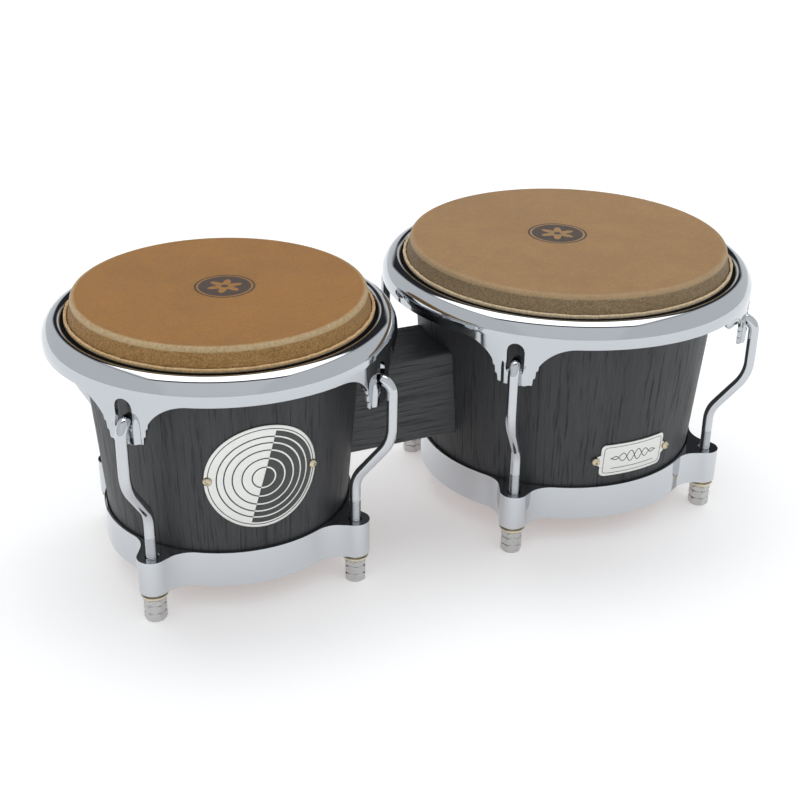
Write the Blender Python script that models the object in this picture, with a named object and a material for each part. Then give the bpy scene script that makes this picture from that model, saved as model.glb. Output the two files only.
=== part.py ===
"""Bongo drums: a small drum (macho) and a large drum (hembra), bolted to one centre block.

Blender 4.5 script in metres, +Z up. The front of the drums faces -Y, the small drum is at -X, and the
origin is on the floor below the middle of the whole instrument. Each drum is a conical wooden shell
that stands in a cast bottom ring. Four hooked lugs pull the tuning rim and the flesh hoop down over
the head, and end in long nuts below the ring, which are also the feet.
"""

import math
from dataclasses import dataclass

import bmesh
import bpy
from mathutils import Matrix, Vector

MM = 0.001

# The whole instrument.
DRUM_SPACING = 249.7 * MM
HEAD_HEIGHT = 188.6 * MM
MACHO_HEAD_RADIUS = 92.1 * MM
HEMBRA_HEAD_RADIUS = 108.7 * MM
LUGS_PER_DRUM = 4
GAP = 0.3 * MM
ROUND_STEPS = 36

# Shell, as offsets from the head's radius.
SHELL_TOP_INSET = 2.2 * MM
SHELL_FOOT_INSET = 14.4 * MM
SHELL_WALL = 9.5 * MM
SHELL_TOP = HEAD_HEIGHT - 2.0 * MM
SHELL_SHOULDER = HEAD_HEIGHT - 6.0 * MM
SHELL_FOOT = 23.5 * MM
# The rounded bearing edge: (inset from the shoulder, drop below the shell's top).
BEARING_EDGE = ((0.9 * MM, 1.4 * MM), (2.8 * MM, 0.0), (SHELL_WALL, 2.6 * MM))

# Head skin: a flat disc that turns down over the bearing edge into a short collar.
SKIN = 1.4 * MM
COLLAR_DEPTH = 11.3 * MM
# Its outer and its inner face past the flat disc: (reach past the head's radius, depth).
SKIN_OUTSIDE = ((-3.0 * MM, 0.0), (-0.6 * MM, 1.2 * MM), (0.2 * MM, 3.4 * MM), (2.3 * MM, COLLAR_DEPTH))
SKIN_INSIDE = ((0.9 * MM, COLLAR_DEPTH), (-1.4 * MM, 3.8 * MM), (-3.6 * MM, SKIN))

# Flesh hoop with the tucked skin round it: (reach past the head's radius, depth).
HOOP_SECTION = (
    (3.1 * MM, 12.0 * MM),
    (4.5 * MM, 12.0 * MM),
    (4.7 * MM, 17.2 * MM),
    (9.4 * MM, 17.6 * MM),
    (9.8 * MM, 23.4 * MM),
    (3.6 * MM, 23.8 * MM),
)

# Tuning rim: a rolled band with an ear at each lug. The roll is (reach past the head's radius, depth).
RIM_ROLL = (
    (5.5 * MM, 16.6 * MM),
    (9.5 * MM, 13.2 * MM),
    (14.8 * MM, 16.2 * MM),
    (18.3 * MM, 21.4 * MM),
    (18.9 * MM, 25.0 * MM),
)
RIM_UNDERSIDE = ((16.2 * MM, 25.0 * MM), (11.4 * MM, 16.6 * MM))
RIM_SKIRT_REACH = 18.7 * MM
RIM_SKIRT_DEPTH = 29.3 * MM
RIM_PLATE = 2.7 * MM
SKIRT_EDGE = 0.5 * MM
RIM_STEPS_BETWEEN_EARS = 6
EAR_DROP = 27.4 * MM
EAR_HALF_WIDTH = 11.5 * MM
EAR_STEP_WIDTH = 14.4 * MM
# Where each of the two steps in an ear's side ends: (width past the ear's foot, drop).
EAR_STEPS = ((1.0 * MM, 22.0 * MM), (EAR_STEP_WIDTH - EAR_HALF_WIDTH, 16.1 * MM))
EAR_FILLET = 28.0 * MM
EAR_FILLET_TURNS = (27.7, 48.0, 69.0, 90.0)
EAR_LEAN = 0.05
TONGUE_HALF_WIDTH = 5.0 * MM
TONGUE_SIDE = 3.2 * MM
TONGUE_LIP = 0.4 * MM
TONGUE_BULGE = 1.6 * MM
TONGUE_LIP_DROP = 1.5 * MM
SLOT_HALF_WIDTH = 5.8 * MM
SLOT_TOP_DEPTH = 28.2 * MM
SLOT_FOOT_DEPTH = 46.3 * MM
SLOT_CUT_FROM = 8.0 * MM
SLOT_CUT_LENGTH = 20.0 * MM
SLOT_TOP_TURNS = (0, 45, 90, 135, 180)

# Lugs, nuts and washers.
LUG_INSET = 1.35 * MM
LUG_ROD_RADIUS = 3.55 * MM
HOOK_RADIUS = 8.0 * MM
HOOK_CENTRE_DEPTH = 49.7 * MM
HOOK_TURNS = (0, 27, 54, 81, 108, 135)
HOOK_TIP = 7.0 * MM
LUG_UPPER_BEND = 106.0 * MM
LUG_LOWER_BEND = 75.0 * MM
BEND_EASE = 5.0 * MM
LUG_FOOT = 6.0 * MM
NUT_HEIGHT = 15.3 * MM
NUT_CORNER_RADIUS = 7.33 * MM
NUT_BORE_RADIUS = 5.0 * MM
NUT_GROOVES = (11.5 * MM, 6.1 * MM)
NUT_GROOVE_DEPTH = 0.6 * MM
NUT_CHAMFER = 1.1 * MM
WASHER_RADIUS = 8.6 * MM
WASHER_FLANGE_FOOT = 17.8 * MM
WASHER_FLANGE_TOP = 18.8 * MM
WASHER_NECK_RADIUS = 6.4 * MM
WASHER_TOP = 20.7 * MM

# Bottom ring.
RING_FOOT = 21.0 * MM
RING_TOP = 45.0 * MM
RING_WALL = 2.4 * MM
RING_LIP = 2.2 * MM
RING_LIP_REACH = 9.0 * MM
RING_CHAMFER = 1.5 * MM
RING_CLEARANCE = 1.0 * MM
BAND_STEPS = 5
BOSS_RADIUS = 9.4 * MM
BOSS_FILLET = 20.0 * MM
BOSS_STEPS = 3
BOSS_BORE_RADIUS = 4.6 * MM
BORE_OVERSHOOT = 5.0 * MM

# Centre block and the bolts that hold it.
BLOCK_HALF_DEPTH = 26.0 * MM
BLOCK_FOOT = 67.0 * MM
BLOCK_TOP = 129.0 * MM
BLOCK_END_STEPS = 8
BOLT_HEIGHTS = (82.0 * MM, 114.0 * MM)
BOLT_RADIUS = 3.0 * MM
BOLT_HOLE_RADIUS = 3.5 * MM
BOLT_REACH = 22.0 * MM
BOLT_HEAD_GAP = 1.2 * MM
# Domed bolt head: (radius, height along the bolt).
BOLT_HEAD = ((0, -3.6 * MM), (3.2 * MM, -3.4 * MM), (5.4 * MM, -1.8 * MM), (6.0 * MM, 0))
PLATE_HALF_WIDTH = 17.0 * MM
PLATE_HALF_HEIGHT = 27.0 * MM
PLATE = 2.5 * MM
BACKING_RINGS = 2

# Badges and their screws. Angles are measured from +X about the drum's axis.
BADGE = 0.8 * MM
BADGE_RINGS = 4
DISC_RADIUS = 36.0 * MM
DISC_STEPS = 24
DISC_HEIGHT = 97.4 * MM
DISC_ANGLE = math.radians(-92.4)
DISC_SCREW_REACH = 33.2 * MM
OBLONG_HALF_WIDTH = 25.0 * MM
OBLONG_HALF_HEIGHT = 12.2 * MM
OBLONG_CORNER = 3.5 * MM
OBLONG_TAB = 4.3 * MM
OBLONG_TAB_REACH = 3.4 * MM
OBLONG_HEIGHT = 64.8 * MM
OBLONG_ANGLE = math.radians(-87.8)
OBLONG_SCREW_REACH = 27.6 * MM
# Screw head: (radius, height above the badge), with its underside just clear of the badge.
SCREW_HEAD = ((0, 2.2 * MM), (2.0 * MM, 1.9 * MM), (2.9 * MM, 0.9 * MM), (2.9 * MM, 0.4 * MM))
SCREW_SEAT = 0.4 * MM
SCREW_SHANK_RADIUS = 1.3 * MM
SCREW_HOLE_RADIUS = 1.7 * MM
SCREW_LENGTH = 7.0 * MM
SCREW_HOLE_OVERSHOOT = 4.0 * MM

MIDDLE = (DRUM_SPACING + HEMBRA_HEAD_RADIUS - MACHO_HEAD_RADIUS) / 2


@dataclass(frozen=True)
class Drum:
    """One drum: its axis and head, how its lugs stand, and the side that its block is on.

    The lugs are turned about the drum's axis by lug_turn. Each reaches out over a jog, and swings
    sideways from its own threaded end by lug_swing. Angles are in degrees.
    """

    name: str
    axis_x: float
    head_radius: float
    lug_turn: float
    lug_jog: float
    lug_swing: float
    block_angle: float

    def shell_radius(self, height):
        """Outer radius of the shell's cone at a height above the floor."""
        top = self.head_radius - SHELL_TOP_INSET
        foot = self.head_radius - SHELL_FOOT_INSET
        share = (height - SHELL_FOOT) / (SHELL_SHOULDER - SHELL_FOOT)
        return foot + (top - foot) * share

    @property
    def lug_radius(self):
        return self.head_radius + LUG_INSET

    @property
    def lug_angles(self):
        quarter = 360 / LUGS_PER_DRUM
        return [math.radians(self.lug_turn + quarter * (i + 0.5)) for i in range(LUGS_PER_DRUM)]

    @property
    def centre(self):
        return Vector((self.axis_x, 0, 0))


MACHO = Drum(
    name="macho",
    axis_x=-MIDDLE,
    head_radius=MACHO_HEAD_RADIUS,
    lug_turn=-3.3,
    lug_jog=24.2 * MM,
    lug_swing=5.5,
    block_angle=0.0,
)
HEMBRA = Drum(
    name="hembra",
    axis_x=DRUM_SPACING - MIDDLE,
    head_radius=HEMBRA_HEAD_RADIUS,
    lug_turn=1.0,
    lug_jog=22.6 * MM,
    lug_swing=1.7,
    block_angle=math.pi,
)

# Finishes: base colour, roughness, metallic.
FINISHES = {
    "black_ash": ((0.035, 0.035, 0.037, 1), 0.45, 0.0),
    "rawhide": ((0.52, 0.33, 0.14, 1), 0.5, 0.0),
    "chrome": ((0.78, 0.80, 0.83, 1), 0.08, 1.0),
    "zinc_steel": ((0.62, 0.62, 0.62, 1), 0.35, 1.0),
    "brass": ((0.72, 0.58, 0.34, 1), 0.3, 1.0),
    "silver_plate": ((0.80, 0.80, 0.78, 1), 0.3, 1.0),
}


def clear_scene():
    for obj in list(bpy.data.objects):
        bpy.data.objects.remove(obj, do_unlink=True)


def finish_material(name, finish):
    colour, roughness, metallic = FINISHES[finish]
    material = bpy.data.materials.new(name)
    material.use_nodes = True
    shader = material.node_tree.nodes["Principled BSDF"]
    shader.inputs["Base Color"].default_value = colour
    shader.inputs["Roughness"].default_value = roughness
    shader.inputs["Metallic"].default_value = metallic
    return material


def place(name, data, finish, location=(0, 0, 0), turn=0.0, parent=None):
    """Adds an object with its own material at a place, turned about +Z."""
    obj = bpy.data.objects.new(name, data)
    bpy.context.scene.collection.objects.link(obj)
    if not obj.material_slots:
        data.materials.append(None)
    obj.material_slots[0].link = "OBJECT"
    obj.material_slots[0].material = finish_material(name, finish)
    obj.parent = parent
    obj.location = location
    obj.rotation_euler.z = turn
    return obj


def empty_at(name, location):
    obj = bpy.data.objects.new(name, None)
    bpy.context.scene.collection.objects.link(obj)
    obj.location = location
    return obj


def mesh_from(bm, name, smooth_angle=35):
    """Closes the bmesh into a mesh that faces out, with round faces smooth and corners sharp."""
    bmesh.ops.recalc_face_normals(bm, faces=bm.faces)
    mesh = bpy.data.meshes.new(name)
    bm.to_mesh(mesh)
    bm.free()
    mesh.shade_smooth()
    mesh.set_sharp_from_angle(angle=math.radians(smooth_angle))
    return mesh


def turned(name, profile, steps=ROUND_STEPS, closed=True):
    """Turns a profile of (radius, height) points about Z. An open one starts and ends on the axis."""
    bm = bmesh.new()
    corners = [bm.verts.new((radius, 0, height)) for radius, height in profile]
    pairs = list(zip(corners, corners[1:]))
    if closed:
        pairs.append((corners[-1], corners[0]))
    edges = [bm.edges.new(pair) for pair in pairs]
    bmesh.ops.spin(
        bm,
        geom=corners + edges,
        axis=(0, 0, 1),
        cent=(0, 0, 0),
        angle=2 * math.pi,
        steps=steps,
        use_merge=True,
    )
    bmesh.ops.remove_doubles(bm, verts=bm.verts, dist=1e-6)
    return mesh_from(bm, name)


def woven(bm, columns):
    """Joins columns of points, each a closed section, into a closed band."""
    rings = [[bm.verts.new(point) for point in column] for column in columns]
    for ring, following in zip(rings, rings[1:] + rings[:1]):
        for i, vert in enumerate(ring):
            j = (i + 1) % len(ring)
            bm.faces.new((vert, ring[j], following[j], following[i]))


def on_circle(radius, angle, height):
    return Vector((radius * math.cos(angle), radius * math.sin(angle), height))


def rod_between(bm, start, end, radius, sides=12):
    """Adds a straight closed cylinder, used to cut round holes."""
    along = end - start
    turn = along.to_track_quat("Z", "Y").to_matrix().to_4x4()
    bmesh.ops.create_cone(
        bm,
        cap_ends=True,
        segments=sides,
        radius1=radius,
        radius2=radius,
        depth=along.length,
        matrix=Matrix.Translation((start + end) / 2) @ turn,
    )


def cutter(name, bm, location):
    obj = bpy.data.objects.new(name, mesh_from(bm, name))
    bpy.context.scene.collection.objects.link(obj)
    obj.location = location
    obj.hide_render = True
    obj.display_type = "WIRE"
    return obj


def cut(obj, tool):
    modifier = obj.modifiers.new(tool.name, "BOOLEAN")
    modifier.operation = "DIFFERENCE"
    modifier.solver = "EXACT"
    modifier.object = tool


def shell(drum):
    """Conical wooden shell with a rounded bearing edge, open at both ends."""
    top = drum.shell_radius(SHELL_SHOULDER)
    foot = drum.shell_radius(SHELL_FOOT)
    profile = [(top, SHELL_SHOULDER)]
    profile += [(top - inset, SHELL_TOP - drop) for inset, drop in BEARING_EDGE]
    profile += [(foot - SHELL_WALL, SHELL_FOOT), (foot, SHELL_FOOT)]
    return place(f"{drum.name}_shell", turned(f"{drum.name}_shell", profile), "black_ash", drum.centre)


def past_head(drum, section):
    """(radius, height) of a section given as (reach past the head's radius, depth below its plane)."""
    return [(drum.head_radius + out, HEAD_HEIGHT - down) for out, down in section]


def head_skin(drum):
    """Rawhide disc and collar, with the shell's bearing edge just below it."""
    rim = past_head(drum, SKIN_OUTSIDE + SKIN_INSIDE)
    profile = [(0, HEAD_HEIGHT), *rim, (0, HEAD_HEIGHT - SKIN)]
    name = f"{drum.name}_head_skin"
    return place(name, turned(name, profile, closed=False), "rawhide", drum.centre)


def flesh_hoop(drum, parent):
    """Hoop inside the tucked edge of the skin, with the trimmed edge standing up inside the rim."""
    name = f"{drum.name}_flesh_hoop"
    return place(name, turned(name, past_head(drum, HOOP_SECTION)), "rawhide", parent=parent)


def ear_edge():
    """Half of an ear's lower edge: (distance from its middle, drop below the skirt's edge)."""
    edge = [
        (0.0, EAR_DROP),
        (TONGUE_HALF_WIDTH, EAR_DROP),
        (TONGUE_HALF_WIDTH + TONGUE_SIDE, EAR_DROP),
        (EAR_HALF_WIDTH, EAR_DROP),
    ]
    edge += [(EAR_HALF_WIDTH + width, drop) for width, drop in EAR_STEPS]
    turns = [math.radians(turn) for turn in EAR_FILLET_TURNS]
    for turn in turns:
        across = EAR_STEP_WIDTH + EAR_FILLET * (math.cos(turns[0]) - math.cos(turn))
        edge.append((across, EAR_FILLET * (1 - math.sin(turn))))
    return edge


def rim_columns(drum):
    """(angle, drop, distance from the nearest ear's middle) of each column round the rim."""
    half = ear_edge()
    whole = [(-across, drop) for across, drop in reversed(half[1:])] + half
    reach = drum.head_radius + RIM_SKIRT_REACH
    columns = []
    for middle in drum.lug_angles:
        columns += [(middle + across / reach, drop, abs(across)) for across, drop in whole]
        start = columns[-1][0]
        width = 2 * math.pi / LUGS_PER_DRUM - 2 * half[-1][0] / reach
        for step in range(1, RIM_STEPS_BETWEEN_EARS):
            columns.append((start + width * step / RIM_STEPS_BETWEEN_EARS, 0.0, reach))
    return columns


def tongue_bulge(across, level):
    """How far the tongue below a slot stands out, at a distance across it and below the skirt's edge."""
    side = (TONGUE_HALF_WIDTH + TONGUE_SIDE - across) / TONGUE_SIDE
    lip = SLOT_FOOT_DEPTH - RIM_SKIRT_DEPTH
    if level < lip:
        return 0.0
    bulge = TONGUE_LIP if level == lip else TONGUE_BULGE
    return bulge * min(1.0, max(0.0, side))


def rim_section(drum, drop, across):
    """Section of the rolled rim. Below the skirt's edge it runs on as the plate of an ear."""
    lip = SLOT_FOOT_DEPTH - RIM_SKIRT_DEPTH
    if drop == EAR_DROP:
        levels = [0.0, lip, lip + TONGUE_LIP_DROP, EAR_DROP]
    else:
        levels = [(drop + SKIRT_EDGE) * share for share in (0.0, 0.35, 0.7, 1.0)]
    plate = []
    for level in levels:
        bulge = tongue_bulge(across, level) if drop == EAR_DROP else 0.0
        plate.append((RIM_SKIRT_REACH - EAR_LEAN * level + bulge, RIM_SKIRT_DEPTH + level))
    inner = [(out - RIM_PLATE, down) for out, down in reversed(plate)]
    return past_head(drum, [*RIM_ROLL, *plate, *inner, *RIM_UNDERSIDE])


def slot_cutter(drum):
    """Round-topped slots through the ears, which the lug hooks pass through."""
    bm = bmesh.new()
    top = HEAD_HEIGHT - SLOT_TOP_DEPTH - SLOT_HALF_WIDTH
    foot = HEAD_HEIGHT - SLOT_FOOT_DEPTH
    outline = [(-SLOT_HALF_WIDTH, foot), (SLOT_HALF_WIDTH, foot)]
    for turn in SLOT_TOP_TURNS:
        across = SLOT_HALF_WIDTH * math.cos(math.radians(turn))
        outline.append((across, top + SLOT_HALF_WIDTH * math.sin(math.radians(turn))))
    inner = drum.head_radius + SLOT_CUT_FROM
    for angle in drum.lug_angles:
        turn = Matrix.Rotation(angle, 3, "Z")
        corners = [bm.verts.new(turn @ Vector((inner, across, height))) for across, height in outline]
        pushed = bmesh.ops.extrude_face_region(bm, geom=[bm.faces.new(corners)])
        moved = [item for item in pushed["geom"] if isinstance(item, bmesh.types.BMVert)]
        bmesh.ops.translate(bm, verts=moved, vec=turn @ Vector((SLOT_CUT_LENGTH, 0, 0)))
    return cutter(f"{drum.name}_slot_cutter", bm, drum.centre)


def tuning_rim(drum, parent):
    bm = bmesh.new()
    columns = []
    for angle, drop, across in rim_columns(drum):
        section = rim_section(drum, drop, across)
        columns.append([on_circle(radius, angle, height) for radius, height in section])
    woven(bm, columns)
    name = f"{drum.name}_tuning_rim"
    rim = place(name, mesh_from(bm, name), "chrome", parent=parent)
    cut(rim, slot_cutter(drum))
    return rim


def lug_route(drum):
    """Centre line of a lug as (reach past its threaded end, height): up, out over the jog, the hook."""
    run = drum.lug_jog
    centre = HEAD_HEIGHT - HOOK_CENTRE_DEPTH
    route = [
        (0, LUG_FOOT),
        (0, LUG_LOWER_BEND - BEND_EASE),
        (0.5 * BEND_EASE, LUG_LOWER_BEND + 0.8 * BEND_EASE),
        (run - 0.5 * BEND_EASE, LUG_UPPER_BEND - 0.8 * BEND_EASE),
        (run, LUG_UPPER_BEND + BEND_EASE),
    ]
    for turn in HOOK_TURNS:
        swing = math.radians(turn)
        out = run - HOOK_RADIUS + HOOK_RADIUS * math.cos(swing)
        route.append((out, centre + HOOK_RADIUS * math.sin(swing)))
    out, height = route[-1]
    route.append((out - HOOK_TIP * math.sin(swing), height + HOOK_TIP * math.cos(swing)))
    return route


def tuning_lugs(drum, parent):
    curve = bpy.data.curves.new(f"{drum.name}_tuning_lug", "CURVE")
    curve.dimensions = "3D"
    curve.bevel_depth = LUG_ROD_RADIUS
    curve.bevel_resolution = 2
    curve.use_fill_caps = True
    route = lug_route(drum)
    spline = curve.splines.new("POLY")
    spline.points.add(len(route) - 1)
    for point, (reach, height) in zip(spline.points, route):
        point.co = (reach, 0, height, 1)
    for number, angle in enumerate(drum.lug_angles, start=1):
        foot = on_circle(drum.lug_radius, angle, 0)
        turn = angle + math.radians(drum.lug_swing)
        place(f"{drum.name}_tuning_lug_{number}", curve, "chrome", foot, turn, parent)


def lug_nuts_and_washers(drum):
    """Long hexagonal nuts with two grooves, each below a flanged washer. The nuts are the feet."""
    corner = NUT_CORNER_RADIUS
    nut_profile = [(NUT_BORE_RADIUS, 0), (NUT_BORE_RADIUS, NUT_HEIGHT), (corner, NUT_HEIGHT)]
    for groove in NUT_GROOVES:
        nut_profile.append((corner, groove + NUT_GROOVE_DEPTH))
        nut_profile.append((corner - NUT_GROOVE_DEPTH, groove))
        nut_profile.append((corner, groove - NUT_GROOVE_DEPTH))
    nut_profile += [(corner, NUT_CHAMFER), (corner - NUT_CHAMFER, 0)]
    foot = NUT_HEIGHT + GAP
    washer_profile = [
        (BOSS_BORE_RADIUS, foot),
        (BOSS_BORE_RADIUS, WASHER_TOP),
        (WASHER_NECK_RADIUS, WASHER_TOP),
        (WASHER_NECK_RADIUS, WASHER_FLANGE_TOP),
        (WASHER_RADIUS, WASHER_FLANGE_TOP),
        (WASHER_RADIUS, WASHER_FLANGE_FOOT),
        (NUT_CORNER_RADIUS, foot),
    ]
    nut = turned(f"{drum.name}_lug_nut", nut_profile, steps=6)
    washer = turned(f"{drum.name}_lug_washer", washer_profile, steps=12)
    for number, angle in enumerate(drum.lug_angles, start=1):
        spot = drum.centre + on_circle(drum.lug_radius, angle, 0)
        place(f"{drum.name}_lug_nut_{number}", nut, "zinc_steel", spot, angle)
        place(f"{drum.name}_lug_washer_{number}", washer, "brass", spot, angle)


def boss_outline(band, lug_radius):
    """Outline of one boss from fillet to fillet, as (radius, angle) about the drum's axis."""
    centre_reach = band + BOSS_FILLET
    side = BOSS_RADIUS + BOSS_FILLET
    cosine = (centre_reach**2 + lug_radius**2 - side**2) / (2 * centre_reach * lug_radius)
    spread = math.acos(cosine)
    fillet_centre = on_circle(centre_reach, spread, 0)
    boss_centre = Vector((lug_radius, 0, 0))
    lean = (fillet_centre - boss_centre).angle(Vector((1, 0, 0)))
    shares = [step / BOSS_STEPS for step in range(BOSS_STEPS + 1)]
    half = [boss_centre + on_circle(BOSS_RADIUS, lean * share, 0) for share in shares]
    for share in shares[1:]:
        swing = math.pi + lean + (spread - lean) * share
        half.append(fillet_centre + on_circle(BOSS_FILLET, swing, 0))
    polar = [(point.length, math.atan2(point.y, point.x)) for point in half]
    return [(radius, -angle) for radius, angle in reversed(polar[1:])] + polar, spread


def ring_outline(drum):
    """Outer edge of the bottom ring, as (outer radius, outer angle, inner angle) all the way round."""
    band = drum.shell_radius(RING_TOP) + RING_WALL
    boss, spread = boss_outline(band, drum.lug_radius)
    outline = []
    for middle in drum.lug_angles:
        for i, (radius, angle) in enumerate(boss):
            share = 2 * i / (len(boss) - 1) - 1
            outline.append((radius, middle + angle, middle + spread * share))
        width = 2 * math.pi / LUGS_PER_DRUM - 2 * spread
        for step in range(1, BAND_STEPS):
            angle = middle + spread + width * step / BAND_STEPS
            outline.append((band, angle, angle))
    return outline


def bottom_ring(drum):
    """Cast band with four bosses and an inner lip that the shell stands on."""
    bm = bmesh.new()
    low = drum.shell_radius(SHELL_FOOT)
    columns = []
    for radius, outer, inner in ring_outline(drum):
        columns.append(
            [
                on_circle(radius - RING_CHAMFER, outer, RING_FOOT),
                on_circle(radius, outer, RING_FOOT + RING_CHAMFER),
                on_circle(radius, outer, RING_TOP),
                on_circle(drum.shell_radius(RING_TOP) + RING_CLEARANCE, inner, RING_TOP),
                on_circle(low + RING_CLEARANCE, inner, RING_FOOT + RING_LIP),
                on_circle(low - RING_LIP_REACH, inner, RING_FOOT + RING_LIP),
                on_circle(low - RING_LIP_REACH, inner, RING_FOOT),
            ]
        )
    woven(bm, columns)
    name = f"{drum.name}_bottom_ring"
    ring = place(name, mesh_from(bm, name), "chrome", drum.centre)
    bores = bmesh.new()
    for angle in drum.lug_angles:
        start = on_circle(drum.lug_radius, angle, RING_FOOT - BORE_OVERSHOOT)
        end = on_circle(drum.lug_radius, angle, RING_TOP + BORE_OVERSHOOT)
        rod_between(bores, start, end, BOSS_BORE_RADIUS, sides=8)
    cut(ring, cutter(f"{drum.name}_bore_cutter", bores, drum.centre))


def centre_block():
    """Wooden block between the shells, hollowed at each end to fit their cones."""
    bm = bmesh.new()
    rows = []
    for height in (BLOCK_FOOT, BLOCK_TOP):
        row = []
        for drum in (MACHO, HEMBRA):
            reach = drum.shell_radius(height) + GAP
            spread = math.asin(BLOCK_HALF_DEPTH / reach)
            for step in range(BLOCK_END_STEPS + 1):
                angle = drum.block_angle + spread * (2 * step / BLOCK_END_STEPS - 1)
                row.append(bm.verts.new(drum.centre + on_circle(reach, angle, height)))
        rows.append(row)
    foot, top = rows
    bm.faces.new(foot)
    bm.faces.new(top)
    for i, vert in enumerate(foot):
        j = (i + 1) % len(foot)
        bm.faces.new((vert, foot[j], top[j], top[i]))
    return place("centre_block", mesh_from(bm, "centre_block"), "black_ash")


def on_cone(drum, across, height, middle, out):
    """A point off the shell's face, at a distance across it from a middle angle."""
    radius = drum.shell_radius(height)
    return on_circle(radius + out, middle + across / radius, height)


def bent_plate(drum, name, outline, middle, height, inside, outside, rings):
    """A thin plate bent round a cone. The outline is a list of (across, up) round its centre."""
    bm = bmesh.new()
    sheets = []
    for out in (inside, outside):
        centre = bm.verts.new(on_cone(drum, 0, height, middle, out))
        loops = []
        for ring in range(1, rings + 1):
            share = ring / rings
            loop = [on_cone(drum, x * share, height + z * share, middle, out) for x, z in outline]
            loops.append([bm.verts.new(point) for point in loop])
        count = len(outline)
        for i in range(count):
            j = (i + 1) % count
            bm.faces.new((centre, loops[0][i], loops[0][j]))
            for near, far in zip(loops, loops[1:]):
                bm.faces.new((near[i], far[i], far[j], near[j]))
        sheets.append(loops[-1])
    for i in range(len(outline)):
        j = (i + 1) % len(outline)
        bm.faces.new((sheets[0][i], sheets[0][j], sheets[1][j], sheets[1][i]))
    return mesh_from(bm, name)


def disc_outline():
    turns = [2 * math.pi * i / DISC_STEPS for i in range(DISC_STEPS)]
    return [(DISC_RADIUS * math.cos(turn), DISC_RADIUS * math.sin(turn)) for turn in turns]


def oblong_outline():
    """Rounded rectangle with a half-round screw tab at each end."""
    inner_x = OBLONG_HALF_WIDTH - OBLONG_CORNER
    inner_z = OBLONG_HALF_HEIGHT - OBLONG_CORNER
    quarter = [(OBLONG_HALF_WIDTH, OBLONG_TAB)]
    for turn in (0, 45, 90):
        x = inner_x + OBLONG_CORNER * math.cos(math.radians(turn))
        quarter.append((x, inner_z + OBLONG_CORNER * math.sin(math.radians(turn))))
    quarter.append((inner_x / 2, OBLONG_HALF_HEIGHT))
    end_x = OBLONG_HALF_WIDTH + OBLONG_TAB_REACH
    tab = [(end_x, -OBLONG_TAB / 2), (end_x, OBLONG_TAB / 2)]
    half = tab + quarter + [(0, OBLONG_HALF_HEIGHT)] + [(-x, z) for x, z in reversed(quarter)]
    return half + [(-x, -z) for x, z in half]


def fastened_badge(drum, name, outline, middle, height, screw_reach):
    """A badge on a shell, the two screws through it, and the holes they sit in."""
    mesh = bent_plate(drum, name, outline, middle, height, GAP, GAP + BADGE, BADGE_RINGS)
    badge = place(name, mesh, "silver_plate", drum.centre)
    holes = bmesh.new()
    shank = [(SCREW_SHANK_RADIUS, SCREW_SEAT), (SCREW_SHANK_RADIUS, -SCREW_LENGTH)]
    profile = [*SCREW_HEAD, *shank, (0, -SCREW_LENGTH)]
    screw = turned(f"{name}_screw", profile, steps=8, closed=False)
    for number, side in enumerate((-1, 1), start=1):
        angle = middle + side * screw_reach / drum.shell_radius(height)
        seat = on_cone(drum, 0, height, angle, GAP + BADGE)
        outward = on_circle(1, angle, 0)
        piece = place(f"{name}_screw_{number}", screw, "brass", drum.centre + seat)
        piece.rotation_euler = outward.to_track_quat("Z", "Y").to_euler()
        inner_end = seat - outward * (SCREW_LENGTH + GAP)
        outer_end = seat + outward * SCREW_HOLE_OVERSHOOT
        rod_between(holes, inner_end, outer_end, SCREW_HOLE_RADIUS, sides=8)
    tool = cutter(f"{name}_screw_cutter", holes, drum.centre)
    cut(badge, tool)
    return tool


def block_fixing(drum, shell_object, block):
    """The curved backing plate inside the shell, and two bolts through it into the block."""
    middle = drum.block_angle
    centre = sum(BOLT_HEIGHTS) / 2
    outline = []
    for x, z in ((1, -1), (1, 0), (1, 1), (0, 1), (-1, 1), (-1, 0), (-1, -1), (0, -1)):
        outline.append((x * PLATE_HALF_WIDTH, z * PLATE_HALF_HEIGHT))
    wall = SHELL_WALL + 2 * GAP
    name = f"{drum.name}_backing_plate"
    mesh = bent_plate(drum, name, outline, middle, centre, -wall - PLATE, -wall, BACKING_RINGS)
    plate = place(name, mesh, "zinc_steel", drum.centre)
    holes = bmesh.new()
    for number, height in enumerate(BOLT_HEIGHTS, start=1):
        seat = drum.shell_radius(height) - wall - PLATE - BOLT_HEAD_GAP
        reach = drum.shell_radius(height) + BOLT_REACH - seat
        profile = [*BOLT_HEAD, (BOLT_RADIUS, 0), (BOLT_RADIUS, reach), (0, reach)]
        piece_name = f"{drum.name}_block_bolt_{number}"
        bolt = place(piece_name, turned(piece_name, profile, steps=10, closed=False), "zinc_steel")
        bolt.location = drum.centre + on_circle(seat, middle, height)
        outward = on_circle(1, middle, 0)
        bolt.rotation_euler = outward.to_track_quat("Z", "Y").to_euler()
        start = on_circle(seat - BOLT_HEAD[-1][0], middle, height)
        end = on_circle(seat + reach + 2 * GAP, middle, height)
        rod_between(holes, start, end, BOLT_HOLE_RADIUS)
    tool = cutter(f"{drum.name}_bolt_cutter", holes, drum.centre)
    for obj in (shell_object, plate, block):
        cut(obj, tool)


def drum_pieces(drum):
    """Everything that belongs to one drum alone. The rim, hoop and lugs share an empty on its axis."""
    body = shell(drum)
    head_skin(drum)
    bottom_ring(drum)
    lug_nuts_and_washers(drum)
    tuning = empty_at(f"{drum.name}_tuning_axis", drum.centre)
    tuning_rim(drum, tuning)
    flesh_hoop(drum, tuning)
    tuning_lugs(drum, tuning)
    return body


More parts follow.
